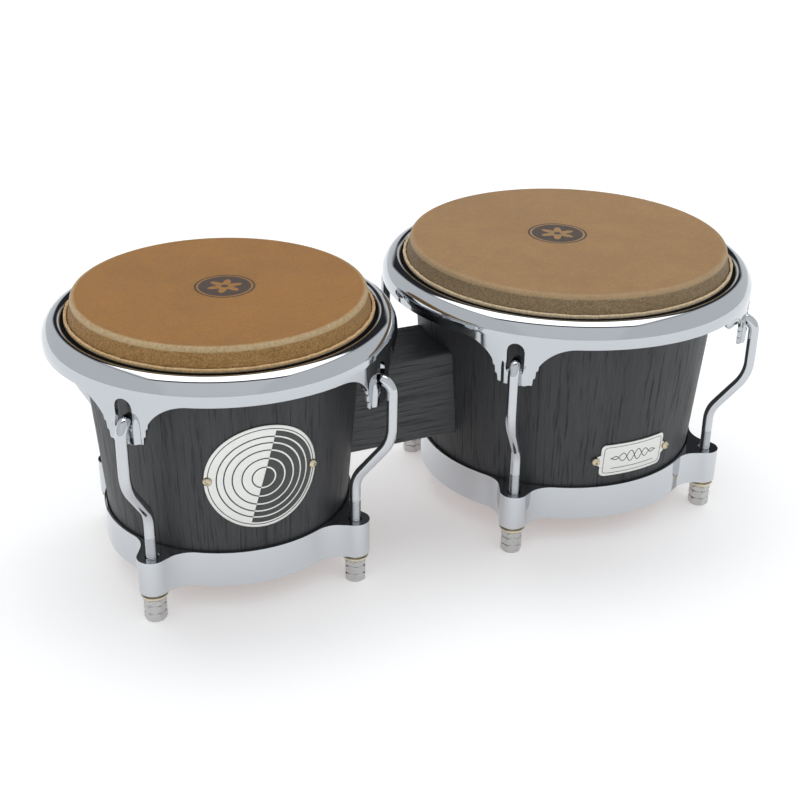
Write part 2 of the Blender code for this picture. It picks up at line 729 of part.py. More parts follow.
def main():
    clear_scene()
    macho_shell = drum_pieces(MACHO)
    hembra_shell = drum_pieces(HEMBRA)
    block = centre_block()
    block_fixing(MACHO, macho_shell, block)
    block_fixing(HEMBRA, hembra_shell, block)
    outline = disc_outline()
    tool = fastened_badge(
        MACHO, "round_badge", outline, DISC_ANGLE, DISC_HEIGHT, DISC_SCREW_REACH
    )
    cut(macho_shell, tool)
    tool = fastened_badge(
        HEMBRA, "oblong_badge", oblong_outline(), OBLONG_ANGLE, OBLONG_HEIGHT, OBLONG_SCREW_REACH
    )
    cut(hembra_shell, tool)


main()
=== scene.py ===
"""Looks of the bongo drums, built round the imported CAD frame. Metres, +Z up, the front faces -Y."""

import math
from dataclasses import dataclass

import bmesh
import bpy
import numpy as np
from mathutils import Euler, Matrix, Vector


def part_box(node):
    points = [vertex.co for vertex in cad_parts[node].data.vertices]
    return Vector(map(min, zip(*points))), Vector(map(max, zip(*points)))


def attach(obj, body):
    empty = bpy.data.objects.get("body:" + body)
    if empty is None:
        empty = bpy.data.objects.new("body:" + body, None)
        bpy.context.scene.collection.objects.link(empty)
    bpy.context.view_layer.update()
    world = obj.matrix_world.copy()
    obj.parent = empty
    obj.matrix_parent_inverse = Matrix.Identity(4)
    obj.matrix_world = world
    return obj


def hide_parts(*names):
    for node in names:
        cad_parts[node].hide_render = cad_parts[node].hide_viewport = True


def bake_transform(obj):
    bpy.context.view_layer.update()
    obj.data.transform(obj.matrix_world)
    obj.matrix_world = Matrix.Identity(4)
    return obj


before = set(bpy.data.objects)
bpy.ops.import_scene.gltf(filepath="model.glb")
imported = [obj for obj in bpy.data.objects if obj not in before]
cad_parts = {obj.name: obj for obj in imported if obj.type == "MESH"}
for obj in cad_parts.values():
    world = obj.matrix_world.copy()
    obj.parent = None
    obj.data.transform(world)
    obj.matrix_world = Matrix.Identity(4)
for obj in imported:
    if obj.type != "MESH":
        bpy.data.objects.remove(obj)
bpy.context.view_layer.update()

MM = 0.001
LUGS = 4

# Offsets from the head's radius and from its plane, as the CAD has them.
COLLAR_FLARE = 2.3 * MM
COLLAR_FOOT = 13.0 * MM
SKIN = 1.4 * MM
SHELL_TOP_INSET = 2.2 * MM
SHELL_FOOT_INSET = 14.4 * MM
SHELL_WALL = 9.5 * MM
SHELL_SHOULDER_DEPTH = 6.0 * MM
RIM_PLATE = 2.7 * MM
RIM_SKIRT_DEPTH = 29.3 * MM
RIM_SKIRT_REACH = 18.7 * MM
ROLL_END_DEPTH = 25.0 * MM
EAR_DROP = 27.4 * MM
EAR_FILLET = 28.0 * MM
EAR_FILLET_START = 27.7
EAR_LEAN = 0.05
SLOT_HALF_WIDTH = 5.8 * MM
SLOT_TOP_DEPTH = 28.2 * MM
SLOT_FOOT_DEPTH = 46.3 * MM
TONGUE_BULGE = 1.9 * MM
LUG_ROD_RADIUS = 3.55 * MM
LUG_BENDS = (75.0 * MM, 106.0 * MM)
LUG_FOOT = 6.0 * MM
LUG_CAP = 1.2 * MM
HOOK_RADIUS = 8.0 * MM
HOOK_CENTRE_DEPTH = 49.7 * MM
THREAD_PITCH = 1.27 * MM
THREAD_DEPTH = 0.5 * MM
THREAD_TOP = 60.3 * MM
THREAD_RUN_OUT = 2.5 * MM
NUT_APOTHEM = 6.35 * MM
NUT_CORNER = 7.25 * MM
NUT_GROOVES = (6.0, 11.5)
RING_WALL = 2.4 * MM
RING_LIP = 2.2 * MM
RING_LIP_REACH = 9.0 * MM
RING_CLEARANCE = 1.0 * MM
BOSS_RADIUS = 9.4 * MM
BOSS_FILLET = 20.0 * MM
BOSS_BORE = 4.3 * MM
# Height where the trimmed edge's colour turns into painted crevice shade, and the span over which it turns.
TRIM_FOOT = 172 * MM
TRIM_SPAN = 5 * MM
BOLT_DOME = 3.6 * MM
GAP = 0.3 * MM
BADGE = 0.8 * MM

# How the meshes are divided.
SKIRT_ROWS = 3
SLOT_ROWS = (3, 7, 6)
RIM_EDGE_STEPS = 5
BAND_COLUMNS = 64
STAVES = 14


@dataclass(frozen=True)
class Drum:
    """A drum as the frame has it. Lugs are (radius, angle) about the drum's axis."""

    name: str
    axis_x: float
    head_radius: float
    head_height: float
    shell_foot: float
    ring_foot: float
    ring_top: float
    lugs: tuple
    lug_jog: float
    lug_swing: float
    block_angle: float

    @property
    def centre(self):
        return Vector((self.axis_x, 0, 0))

    def lug_spot(self, radius, angle):
        return self.centre + Vector((radius * math.cos(angle), radius * math.sin(angle), 0))

    def shell_radius(self, height):
        top = self.head_radius - SHELL_TOP_INSET
        foot = self.head_radius - SHELL_FOOT_INSET
        shoulder = self.head_height - SHELL_SHOULDER_DEPTH
        return foot + (top - foot) * (height - self.shell_foot) / (shoulder - self.shell_foot)


def read_drum(name, block_angle, lug_jog, lug_swing):
    low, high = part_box(f"{name}_head_skin")
    axis_x = (low.x + high.x) / 2
    lugs = []
    for number in range(1, LUGS + 1):
        nut_low, nut_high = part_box(f"{name}_lug_nut_{number}")
        spot = (nut_low + nut_high) / 2
        reach = Vector((spot.x - axis_x, spot.y))
        lugs.append((reach.length, math.atan2(reach.y, reach.x)))
    ring_low, ring_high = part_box(f"{name}_bottom_ring")
    return Drum(
        name=name,
        axis_x=axis_x,
        head_radius=(high.x - low.x) / 2 - COLLAR_FLARE,
        head_height=high.z,
        shell_foot=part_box(f"{name}_shell")[0].z,
        ring_foot=ring_low.z,
        ring_top=ring_high.z,
        lugs=tuple(lugs),
        lug_jog=lug_jog,
        lug_swing=math.radians(lug_swing),
        block_angle=block_angle,
    )


MACHO = read_drum("macho", 0.0, 24.2 * MM, 5.5)
HEMBRA = read_drum("hembra", math.pi, 22.6 * MM, 1.7)


# ---------------------------------------------------------------- shape helpers


def smoothstep(low, high, value):
    share = np.clip((np.asarray(value, float) - low) / (high - low), 0, 1)
    return share * share * (3 - 2 * share)


def lattice_noise(seed, around, up, cells_around, cells_up):
    """Smooth noise from -1 to 1. It repeats once `around` goes from 0 to 1; `up` goes from 0 to 1."""
    values = np.random.default_rng(seed).uniform(-1, 1, (cells_around, cells_up + 2))
    x = (np.asarray(around) % 1.0) * cells_around
    y = np.clip(up, 0, 1) * cells_up
    i, j = np.floor(x).astype(int), np.floor(y).astype(int)
    fx, fy = x - i, y - j
    fx, fy = fx * fx * (3 - 2 * fx), fy * fy * (3 - 2 * fy)
    i, k = i % cells_around, (i + 1) % cells_around
    low = values[i, j] * (1 - fx) + values[k, j] * fx
    high = values[i, j + 1] * (1 - fx) + values[k, j + 1] * fx
    return low * (1 - fy) + high * fy


def softened(points, reaches, steps=4, closed=False):
    """An outline whose corners are curves that start `reach` before the corner. One reach, or one each."""
    points = [np.asarray(point, float) for point in points]
    count = len(points)
    if not hasattr(reaches, "__len__"):
        reaches = [reaches] * count
    out = []
    for i, (point, reach) in enumerate(zip(points, reaches)):
        if reach <= 0 or (not closed and i in (0, count - 1)):
            out.append(point)
            continue
        before, after = points[i - 1] - point, points[(i + 1) % count] - point
        long_before, long_after = np.linalg.norm(before), np.linalg.norm(after)
        held = min(reach, 0.48 * long_before, 0.48 * long_after)
        start, end = point + before / long_before * held, point + after / long_after * held
        for share in np.linspace(0, 1, steps + 1):
            near = start + (point - start) * share
            far = point + (end - point) * share
            out.append(near + (far - near) * share)
    return np.array(out)


def divided(outline, spacing):
    """A closed outline with points added along its sides, about `spacing` apart."""
    points = []
    for start, end in zip(outline, np.vstack([outline[1:], outline[:1]])):
        pieces = max(1, round(float(np.linalg.norm(end - start)) / spacing))
        points += [start + (end - start) * step / pieces for step in range(pieces)]
    return np.array(points)


def through(points, steps=5):
    """A smooth curve (Catmull-Rom) through the points."""
    points = np.asarray(points, float)
    padded = np.vstack([2 * points[0] - points[1], points, 2 * points[-1] - points[-2]])
    out = []
    for i in range(1, len(padded) - 2):
        a, b, c, d = padded[i - 1 : i + 3]
        for t in np.arange(steps) / steps:
            square, cube = 2 * a - 5 * b + 4 * c - d, 3 * b - a - 3 * c + d
            out.append(0.5 * (2 * b + (c - a) * t + square * t**2 + cube * t**3))
    out.append(points[-1])
    return np.array(out)


def around_axis(radius, angle, height):
    """Points from their radius, angle and height, which may be arrays of one shape."""
    radius, angle, height = np.broadcast_arrays(radius, angle, height)
    return np.stack([radius * np.cos(angle), radius * np.sin(angle), height], -1)


def turned_grid(profile, steps):
    """Columns of a turned profile, [step, point]."""
    profile = np.asarray(profile, float)
    angles = np.arange(steps)[:, None] * 2 * math.pi / steps
    return around_axis(profile[None, :, 0], angles, profile[None, :, 1])


def quads_of(columns, rows, round_columns=True, round_rows=True, first=0):
    """Corner numbers of the quads between the columns and rows of a grid."""
    index = first + np.arange(columns * rows).reshape(columns, rows)
    if round_columns:
        index = np.vstack([index, index[:1]])
    if round_rows:
        index = np.hstack([index, index[:, :1]])
    corners = [index[:-1, :-1], index[1:, :-1], index[1:, 1:], index[:-1, 1:]]
    return np.stack(corners, -1).reshape(-1, 4)


def mesh_of(name, points, faces, sharp=38, slots=None, edge=None):
    """A mesh with its normals out, merged points, and smooth faces up to the sharp angle, if there is one."""
    mesh = bpy.data.meshes.new(name)
    mesh.from_pydata(np.asarray(points).reshape(-1, 3).tolist(), [], [list(map(int, f)) for f in faces])
    if slots is not None:
        mesh.polygons.foreach_set("material_index", np.asarray(slots, np.int32))
    if edge is not None:
        mesh.attributes.new("edge", "FLOAT", "POINT").data.foreach_set("value", edge)
    bm = bmesh.new()
    bm.from_mesh(mesh)
    bmesh.ops.remove_doubles(bm, verts=bm.verts, dist=1e-6)
    bmesh.ops.recalc_face_normals(bm, faces=bm.faces)
    bm.to_mesh(mesh)
    bm.free()
    mesh.shade_smooth()
    if sharp:
        mesh.set_sharp_from_angle(angle=math.radians(sharp))
    return mesh


def grid_mesh(name, grid, round_columns=True, round_rows=True, sharp=38):
    columns, rows = grid.shape[:2]
    return mesh_of(name, grid, quads_of(columns, rows, round_columns, round_rows), sharp)


def turned_mesh(name, profile, steps=96, closed=True, sharp=38):
    return grid_mesh(name, turned_grid(profile, steps), True, closed, sharp)


def piece(name, mesh, materials, body, nodes, location=(0, 0, 0), rotation=None):
    """Adds a piece that rides on a body, takes a material slot, and stands for CAD nodes."""
    obj = bpy.data.objects.new(name, mesh)
    bpy.context.scene.collection.objects.link(obj)
    if not mesh.materials:
        for material in materials:
            mesh.materials.append(material)
    obj.location = location
    if rotation is not None:
        obj.rotation_euler = rotation
    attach(obj, body)
    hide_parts(*nodes)
    return obj


def cut_away(obj, name, points, faces):
    """Applies a Boolean cut with a closed tool given in the object's own coordinates."""
    tool = bpy.data.objects.new(name, mesh_of(name, points, faces))
    bpy.context.scene.collection.objects.link(tool)
    tool.matrix_world = obj.matrix_world
    modifier = obj.modifiers.new(name, "BOOLEAN")
    modifier.operation = "DIFFERENCE"
    modifier.solver = "EXACT"
    modifier.object = tool
    bpy.context.view_layer.update()
    graph = bpy.context.evaluated_depsgraph_get()
    cut = bpy.data.meshes.new_from_object(obj.evaluated_get(graph))
    obj.modifiers.remove(modifier)
    old = obj.data
    obj.data = cut
    cut.name = old.name
    cut.shade_smooth()
    cut.set_sharp_from_angle(angle=math.radians(38))
    bpy.data.meshes.remove(old)
    bpy.data.objects.remove(tool, do_unlink=True)


# ---------------------------------------------------------------- materials


class Nodes:
    """Adds linked shader nodes to a tree."""

    def __init__(self, tree):
        self.tree = tree

    def node(self, kind, **inputs):
        """Adds a node. Keys that name a setting set it; the others feed the socket of that name or number."""
        made = self.tree.nodes.new(kind)
        for key, value in inputs.items():
            if key in made.bl_rna.properties:
                setattr(made, key, value)
                continue
            socket = made.inputs[int(key[1:])] if key[0] == "_" else made.inputs[key.replace("_", " ")]
            if isinstance(value, bpy.types.NodeSocket):
                self.tree.links.new(value, socket)
            else:
                socket.default_value = value
        return made

    def math(self, operation, first, second=0.0):
        return self.node("ShaderNodeMath", operation=operation, _0=first, _1=second).outputs[0]

    def scaled(self, vector, scale):
        return self.node("ShaderNodeVectorMath", operation="MULTIPLY", _0=vector, _1=scale).outputs[0]

    def noise(self, vector, scale, detail=3.0, roughness=0.55, distortion=0.0):
        made = self.node(
            "ShaderNodeTexNoise",
            Vector=vector,
            Scale=scale,
            Detail=detail,
            Roughness=roughness,
            Distortion=distortion,
        )
        return made.outputs[0]

    def ramp(self, value, *stops):
        """A colour ramp. Each stop is (position, grey) or (position, (r, g, b))."""
        made = self.node("ShaderNodeValToRGB", Fac=value)
        elements = made.color_ramp.elements
        while len(elements) < len(stops):
            elements.new(0.5)
        for element, (position, colour) in zip(elements, stops):
            element.position = position
            grey = not hasattr(colour, "__len__")
            element.color = (colour, colour, colour, 1) if grey else (*colour, 1)
        return made.outputs[0]

    def mix(self, factor, first, second, blend="MIX"):
        made = self.node("ShaderNodeMix", data_type="RGBA", blend_type=blend)
        for number, value in ((0, factor), (6, first), (7, second)):
            if isinstance(value, bpy.types.NodeSocket):
                self.tree.links.new(value, made.inputs[number])
            elif number:
                made.inputs[number].default_value = (*value, 1)
            else:
                made.inputs[number].default_value = value
        return made.outputs[2]

    def bump(self, height, distance, strength=1.0, under=None):
        made = self.node("ShaderNodeBump", Height=height, Distance=distance, Strength=strength)
        if under is not None:
            self.tree.links.new(under, made.inputs["Normal"])
        return made.outputs[0]


class Finish(Nodes):
    """A material under construction: a Principled shader and the nodes that feed it."""

    def __init__(self, name, **sockets):
        self.material = bpy.data.materials.new(name)
        self.material.use_nodes = True
        super().__init__(self.material.node_tree)
        self.shader = self.tree.nodes["Principled BSDF"]
        for socket, value in sockets.items():
            self.shader.inputs[socket.replace("_", " ")].default_value = value

    def feed(self, socket, output):
        self.tree.links.new(output, self.shader.inputs[socket])

    def place(self):
        return self.node("ShaderNodeTexCoord").outputs["Object"]


def wood_finish(name, vertical, dark, light):
    """Brushed open-grain wood under a thin black stain. Grain runs up a cone, or along X."""
    finish = Finish(name, Specular_IOR_Level=0.42)
    place = finish.place()
    if vertical:
        split = finish.node("ShaderNodeSeparateXYZ", Vector=place)
        flat = finish.node("ShaderNodeCombineXYZ", X=split.outputs[0], Y=split.outputs[1]).outputs[0]
        onto = finish.node("ShaderNodeVectorMath", operation="NORMALIZE", _0=flat).outputs[0]
        split_on = finish.node("ShaderNodeSeparateXYZ", Vector=finish.scaled(onto, (0.1, 0.1, 0.1)))
        stave = finish.math("ARCTAN2", split.outputs[1], split.outputs[0])
        stave = finish.math("FLOOR", finish.math("MULTIPLY", stave, STAVES / (2 * math.pi)))
        tone = finish.node("ShaderNodeTexWhiteNoise", noise_dimensions="1D", W=stave).outputs[0]
        lift = finish.math("ADD", split.outputs[2], finish.math("MULTIPLY", tone, 0.35))
        grain = finish.node(
            "ShaderNodeCombineXYZ", X=split_on.outputs[0], Y=split_on.outputs[1], Z=lift
        ).outputs[0]
        stretch, drift = (1, 1, 0.035), (0.0016, 0.0016, 0)
    else:
        tone = finish.noise(place, 9.0, 1.0)
        grain, stretch, drift = place, (0.03, 1, 1), (0, 0.0016, 0.0016)
    sway = finish.node("ShaderNodeTexNoise", Vector=grain, Scale=38.0, Detail=1.0)
    sway = finish.scaled(sway.outputs["Color"], drift)
    swayed = finish.node("ShaderNodeVectorMath", operation="ADD", _0=grain, _1=sway).outputs[0]
    line = finish.scaled(swayed, stretch)
    streaks = finish.noise(line, 560.0, 4.0, 0.68)
    pores = finish.noise(line, 1500.0, 2.0, 0.5)
    broad = finish.noise(line, 110.0, 2.0, 0.5)
    grooves = finish.ramp(streaks, (0.36, 0.0), (0.47, 1.0))
    depth = finish.math("ADD", finish.math("MULTIPLY", grooves, 0.7), finish.math("MULTIPLY", pores, 0.3))
    colour = finish.mix(grooves, dark, light)
    fine = finish.ramp(pores, (0.35, 0.84), (0.65, 1.16))
    patch = finish.ramp(finish.mix(0.6, broad, tone), (0.3, 0.86), (0.7, 1.12))
    colour = finish.mix(1.0, finish.mix(1.0, colour, fine, "MULTIPLY"), patch, "MULTIPLY")
    finish.feed("Base Color", colour)
    finish.feed("Roughness", finish.ramp(depth, (0.3, 0.72), (0.8, 0.46)))
    finish.feed("Normal", finish.bump(depth, 0.3 * MM, 0.7))
    return finish.material


def chrome_finish(name, colour, roughness=(0.035, 0.1), ripple=0.012):
    """Polished plate with faint hand smears and the slow ripple of a cast or pressed surface."""
    finish = Finish(name, Metallic=1.0, Base_Color=(*colour, 1))
    place = finish.place()
    smears = finish.noise(finish.scaled(place, (1, 1, 2.5)), 45.0, 4.0, 0.6, 0.8)
    finish.feed("Roughness", finish.ramp(smears, (0.35, roughness[0]), (0.72, roughness[1])))
    slow = finish.noise(place, 55.0, 1.0)
    grit = finish.noise(place, 900.0, 2.0)
    lower = finish.bump(slow, 0.6 * MM, ripple * 8)
    finish.feed("Normal", finish.bump(grit, 0.05 * MM, ripple * 4, lower))
    return finish.material


def steel_finish(name, colour, roughness=0.3, specks=0.5):
    """Zinc-plated or brushed metal with fine turning lines and dull patches."""
    finish = Finish(name, Metallic=1.0)
    place = finish.place()
    lines = finish.noise(finish.scaled(place, (0.15, 0.15, 1)), 5200.0, 2.0)
    cloud = finish.noise(place, 210.0, 4.0, 0.6)
    dull = tuple(channel * (1 - 0.38 * specks) for channel in colour)
    finish.feed("Base Color", finish.mix(finish.ramp(cloud, (0.42, 0.0), (0.68, 1.0)), colour, dull))
    rough = finish.ramp(cloud, (0.35, roughness - 0.08), (0.7, roughness + 0.12))
    finish.feed("Roughness", rough)
    finish.feed("Normal", finish.bump(lines, 0.04 * MM, 0.5))
    return finish.material


def brushed_plate_finish(name, colour):
    """Silver badge stock, brushed along its length."""
    finish = Finish(name, Metallic=1.0)
    place = finish.place()
    lines = finish.noise(finish.scaled(place, (0.05, 0.05, 1)), 4200.0, 3.0, 0.6)
    cloud = finish.noise(place, 90.0, 3.0)
    darker = tuple(channel * 0.86 for channel in colour)
    finish.feed("Base Color", finish.mix(lines, colour, darker))
    finish.feed("Roughness", finish.ramp(cloud, (0.3, 0.3), (0.7, 0.42)))
    finish.feed("Normal", finish.bump(lines, 0.03 * MM, 0.4))
    return finish.material


def enamel_finish(name):
    finish = Finish(name, Coat_Weight=0.3, Coat_Roughness=0.12)
    place = finish.place()
    cloud = finish.noise(place, 160.0, 4.0, 0.6)
    finish.feed("Base Color", finish.ramp(cloud, (0.3, 0.016), (0.7, 0.034)))
    finish.feed("Roughness", finish.ramp(cloud, (0.35, 0.26), (0.7, 0.44)))
    finish.feed("Normal", finish.bump(finish.noise(place, 700.0, 2.0), 0.03 * MM, 0.3))
    return finish.material


def rawhide_finish(name, tone, flecked, stamp_at, stamp_radius):
    """Rawhide head. The mesh attribute `edge` is the way past the bearing edge, in millimetres."""
    finish = Finish(name, Specular_IOR_Level=0.3, Sheen_Weight=0.05, Sheen_Roughness=0.5)
    place = finish.place()
    edge = finish.node("ShaderNodeAttribute", attribute_name="edge").outputs["Fac"]
    base, ridge_tone, collar_dark, collar_light = tone
    cloud = finish.noise(place, 16.0, 5.0, 0.62, 0.6)
    mottle = finish.noise(place, 75.0, 6.0, 0.68, 0.9)
    fibre = finish.noise(finish.scaled(place, (0.32, 1.0, 1.0)), 520.0, 4.0, 0.7, 1.5)
    grain = finish.noise(place, 1000.0, 3.0, 0.7)
    dark, pale = (tuple(channel * factor for channel in base) for factor in (0.93, 1.06))
    colour = finish.ramp(cloud, (0.32, dark), (0.52, base), (0.74, pale))
    for value, low, high in ((mottle, 0.94, 1.06), (fibre, 0.95, 1.05), (grain, 0.88, 1.12)):
        colour = finish.mix(1.0, colour, finish.ramp(value, (0.36, low), (0.64, high)), "MULTIPLY")
    if flecked:
        flecks = finish.node("ShaderNodeTexVoronoi", Vector=place, Scale=420.0, Randomness=1.0).outputs[0]
        rare = finish.math("LESS_THAN", finish.math("ADD", flecks, finish.math("MULTIPLY", cloud, 0.3)), 0.2)
        colour = finish.mix(finish.math("MULTIPLY", rare, 0.3), colour, (0.72, 0.5, 0.26))
    colour = head_stamp(finish, colour, place, stamp_at, stamp_radius)
    # Past the edge the skin turns down into a grainy collar, with a pale drawn ridge at the turn.
    wander = finish.math("ADD", edge, finish.noise(place, 220.0, 3.0))
    tufts = finish.noise(finish.scaled(place, (1, 1, 0.5)), 620.0, 3.0, 0.7)
    collar = finish.ramp(finish.math("MULTIPLY", wander, 0.1), (0.1, 0.0), (0.26, 1.0))
    speckle = finish.math("ADD", finish.math("MULTIPLY", grain, 0.55), finish.math("MULTIPLY", fibre, 0.45))
    skirt = finish.ramp(speckle, (0.38, collar_dark), (0.62, collar_light))
    colour = finish.mix(collar, colour, skirt)
    lower = finish.math("ADD", wander, finish.math("MULTIPLY", tufts, 1.6))
    ridge = finish.ramp(
        finish.math("MULTIPLY", finish.math("ADD", lower, 6.0), 0.05),
        (0.19, 0.0),
        (0.27, 0.75),
        (0.36, 1.0),
        (0.43, 0.9),
        (0.47, 0.0),
    )
    strength = 0.85 if flecked else 0.35
    ridge = finish.math("MULTIPLY", ridge, finish.ramp(tufts, (0.36, 0.55 * strength), (0.58, strength)))
    colour = finish.mix(ridge, colour, ridge_tone)
    finish.feed("Base Color", colour)
    rough = finish.ramp(mottle, (0.3, 0.5), (0.7, 0.64))
    finish.feed("Roughness", finish.mix(collar, rough, (0.8, 0.8, 0.8)))
    under = finish.bump(mottle, 0.2 * MM, 0.3)
    under = finish.bump(grain, 0.08 * MM, 0.5, under)
    rough_collar = finish.math("MULTIPLY", speckle, finish.math("ADD", collar, 0.1))
    finish.feed("Normal", finish.bump(rough_collar, 0.5 * MM, 0.7, under))
    return finish.material


def head_stamp(finish, colour, place, middle, radius):
    """A plain inked rosette: a rim line round a filled disc, with a six-rayed star left clear."""
    here = finish.node(
        "ShaderNodeVectorMath", operation="SUBTRACT", _0=place, _1=(*middle, 0)
    ).outputs[0]
    split = finish.node("ShaderNodeSeparateXYZ", Vector=here)
    flat = finish.node("ShaderNodeCombineXYZ", X=split.outputs[0], Y=split.outputs[1]).outputs[0]
    reach = finish.node("ShaderNodeVectorMath", operation="LENGTH", _0=flat).outputs["Value"]
    share = finish.math("DIVIDE", reach, radius)
    swing = finish.math("ARCTAN2", split.outputs[1], split.outputs[0])
    wave = finish.math("COSINE", finish.math("MULTIPLY", swing, 6.0))
    star = finish.math("ADD", finish.math("MULTIPLY", wave, 0.16), 0.44)

    def between(inner, outer):
        past = finish.math("GREATER_THAN", share, inner)
        return finish.math("MULTIPLY", finish.math("LESS_THAN", share, outer), past)

    line, disc = between(0.93, 1.0), between(star, 0.86)
    dot = finish.math("LESS_THAN", share, 0.12)
    ink = finish.math("MINIMUM", finish.math("ADD", finish.math("ADD", line, disc), dot), 1.0)
    worn = finish.ramp(finish.noise(place, 900.0, 3.0, 0.7), (0.3, 0.74), (0.55, 0.93))
    return finish.mix(finish.math("MULTIPLY", ink, worn), colour, (0.035, 0.032, 0.034))


def trimmed_edge_finish(name, bead, tan, shade):
    """The trimmed, tucked edge of the skin: a pale bead, tan below it, and under that painted shade, dark
    brown then black, standing in for the shadow in the crevice on the hoop.
    """
    finish = Finish(name, Roughness=0.8, Specular_IOR_Level=0.2)
    place = finish.place()
    strands = finish.noise(finish.scaled(place, (1, 1, 0.6)), 900.0, 4.0, 0.7)
    height = finish.node("ShaderNodeSeparateXYZ", Vector=place).outputs[2]
    share = finish.math("MULTIPLY", finish.math("SUBTRACT", height, TRIM_FOOT), 1 / TRIM_SPAN)
    share = finish.math("ADD", share, finish.math("MULTIPLY", finish.math("SUBTRACT", strands, 0.5), 0.12))
    # Painted shade: below TRIM_FOOT the colour runs through the dark `shade` stop to black, painting the
    # shadow in the crevice between the trimmed edge and the hoop.
    black = (0.008, 0.008, 0.009)
    colour = finish.ramp(share, (0.48, black), (0.54, shade), (0.7, tan), (0.8, tan), (0.9, bead))
    colour = finish.mix(1.0, colour, finish.ramp(strands, (0.34, 0.72), (0.66, 1.25)), "MULTIPLY")
    finish.feed("Base Color", colour)
    finish.feed("Normal", finish.bump(strands, 0.4 * MM, 0.7))
    return finish.material


def raw_wood_finish(name):
    """The inside of the shell: bare, pale wood with its staves glued edge to edge."""
    finish = Finish(name, Specular_IOR_Level=0.3)
    place = finish.place()
    line = finish.scaled(place, (1, 1, 0.04))
    streaks = finish.noise(line, 420.0, 4.0, 0.6)
    tones = (0.35, (0.3, 0.2, 0.11)), (0.5, (0.42, 0.3, 0.17)), (0.7, (0.52, 0.39, 0.24))
    finish.feed("Base Color", finish.ramp(streaks, *tones))
    finish.feed("Roughness", finish.ramp(streaks, (0.3, 0.75), (0.7, 0.6)))
    finish.feed("Normal", finish.bump(streaks, 0.3 * MM, 0.6))
    return finish.material


CHROME = (0.53, 0.55, 0.575)
BLACK_SHELL = wood_finish("black_wood_upright", True, (0.0185, 0.0185, 0.02), (0.0355, 0.0362, 0.0385))
BLACK_BLOCK = wood_finish("black_wood_level", False, (0.033, 0.033, 0.035), (0.058, 0.059, 0.062))
RAW_WOOD = raw_wood_finish("bare_wood")
RIM_CHROME = chrome_finish("rim_chrome", CHROME)
LUG_CHROME = chrome_finish("lug_chrome", (0.56, 0.575, 0.6), (0.05, 0.1), 0.004)
RING_CHROME = chrome_finish("ring_chrome", (0.6, 0.62, 0.645), (0.06, 0.14), 0.008)
NUT_STEEL = steel_finish("nut_steel", (0.55, 0.545, 0.54), 0.26, 0.15)
PLAIN_STEEL = steel_finish("plain_steel", (0.56, 0.56, 0.57), 0.34)
WASHER_BRASS = steel_finish("washer_brass", (0.7, 0.64, 0.5), 0.3, 0.25)
SCREW_BRASS = steel_finish("screw_brass", (0.66, 0.58, 0.42), 0.26, 0.5)
BADGE_SILVER = brushed_plate_finish("badge_silver", (0.8, 0.8, 0.77))
ENAMEL = enamel_finish("badge_enamel")


# ---------------------------------------------------------------- the drums' pieces


def wood_relief(seed, around, up, cells):
    """Depth of the brushed grain, from 0 to 1, on a surface whose grain runs up."""
    sway = 0.35 / cells * lattice_noise(seed, around, up, 24, 5)
    fine = lattice_noise(seed + 1, around + sway, up, cells, 7)
    broad = lattice_noise(seed + 2, around + 2 * sway, up, cells // 3, 3)
    breaks = smoothstep(-0.4, 0.6, lattice_noise(seed + 3, around, up, cells // 2, 16))
    return smoothstep(0.05, 0.85, 0.7 * fine + 0.45 * broad) * (0.45 + 0.55 * breaks)


def shell(drum, seed):
    top, foot = drum.head_height - 2.0 * MM, drum.shell_foot
    shoulder = drum.head_height - SHELL_SHOULDER_DEPTH
    high, low = drum.shell_radius(shoulder), drum.shell_radius(foot)
    outside = [(drum.shell_radius(z), z) for z in np.linspace(foot + 1.0 * MM, shoulder - 0.5 * MM, 84)]
    lip = top - 3.0 * MM
    brow = (high - 1.0 * MM, top - 1.2 * MM)
    corners = [(high, shoulder), brow, (high - 3.0 * MM, top), (high - SHELL_WALL, lip)]
    crown = softened(corners, [0, 1.2 * MM, 1.2 * MM, 0])
    inside = [
        (high - SHELL_WALL - (high - low) * share, top - 3.0 * MM + (foot - top + 3.0 * MM) * share)
        for share in (0.34, 0.67)
    ]
    base = [(low - SHELL_WALL, foot + 0.6 * MM), (low - SHELL_WALL + 0.6 * MM, foot), (low - 0.6 * MM, foot)]
    profile = np.array([*outside, *crown.tolist(), *inside, *base])
    steps = 720
    grid = turned_grid(profile, steps)
    around = np.arange(steps)[:, None] / steps
    up = (profile[None, : len(outside), 1] - foot) / (shoulder - foot)
    depth = wood_relief(seed, around, up, 330) * smoothstep(0, 0.03, up) * smoothstep(0, 0.03, 1 - up)
    radii = profile[None, : len(outside), 0] - 0.15 * MM * depth
    grid[:, : len(outside)] = around_axis(radii, around * 2 * math.pi, profile[None, : len(outside), 1])
    faces = quads_of(steps, len(profile))
    row = np.tile(np.arange(len(profile)), steps)
    inner = row >= len(outside) + len(crown) - 1
    name = f"{drum.name}_shell_wood"
    mesh = mesh_of(name, grid, faces, 50, inner.astype(int))
    piece(name, mesh, [BLACK_SHELL, RAW_WOOD], "root", [f"{drum.name}_shell"], drum.centre)


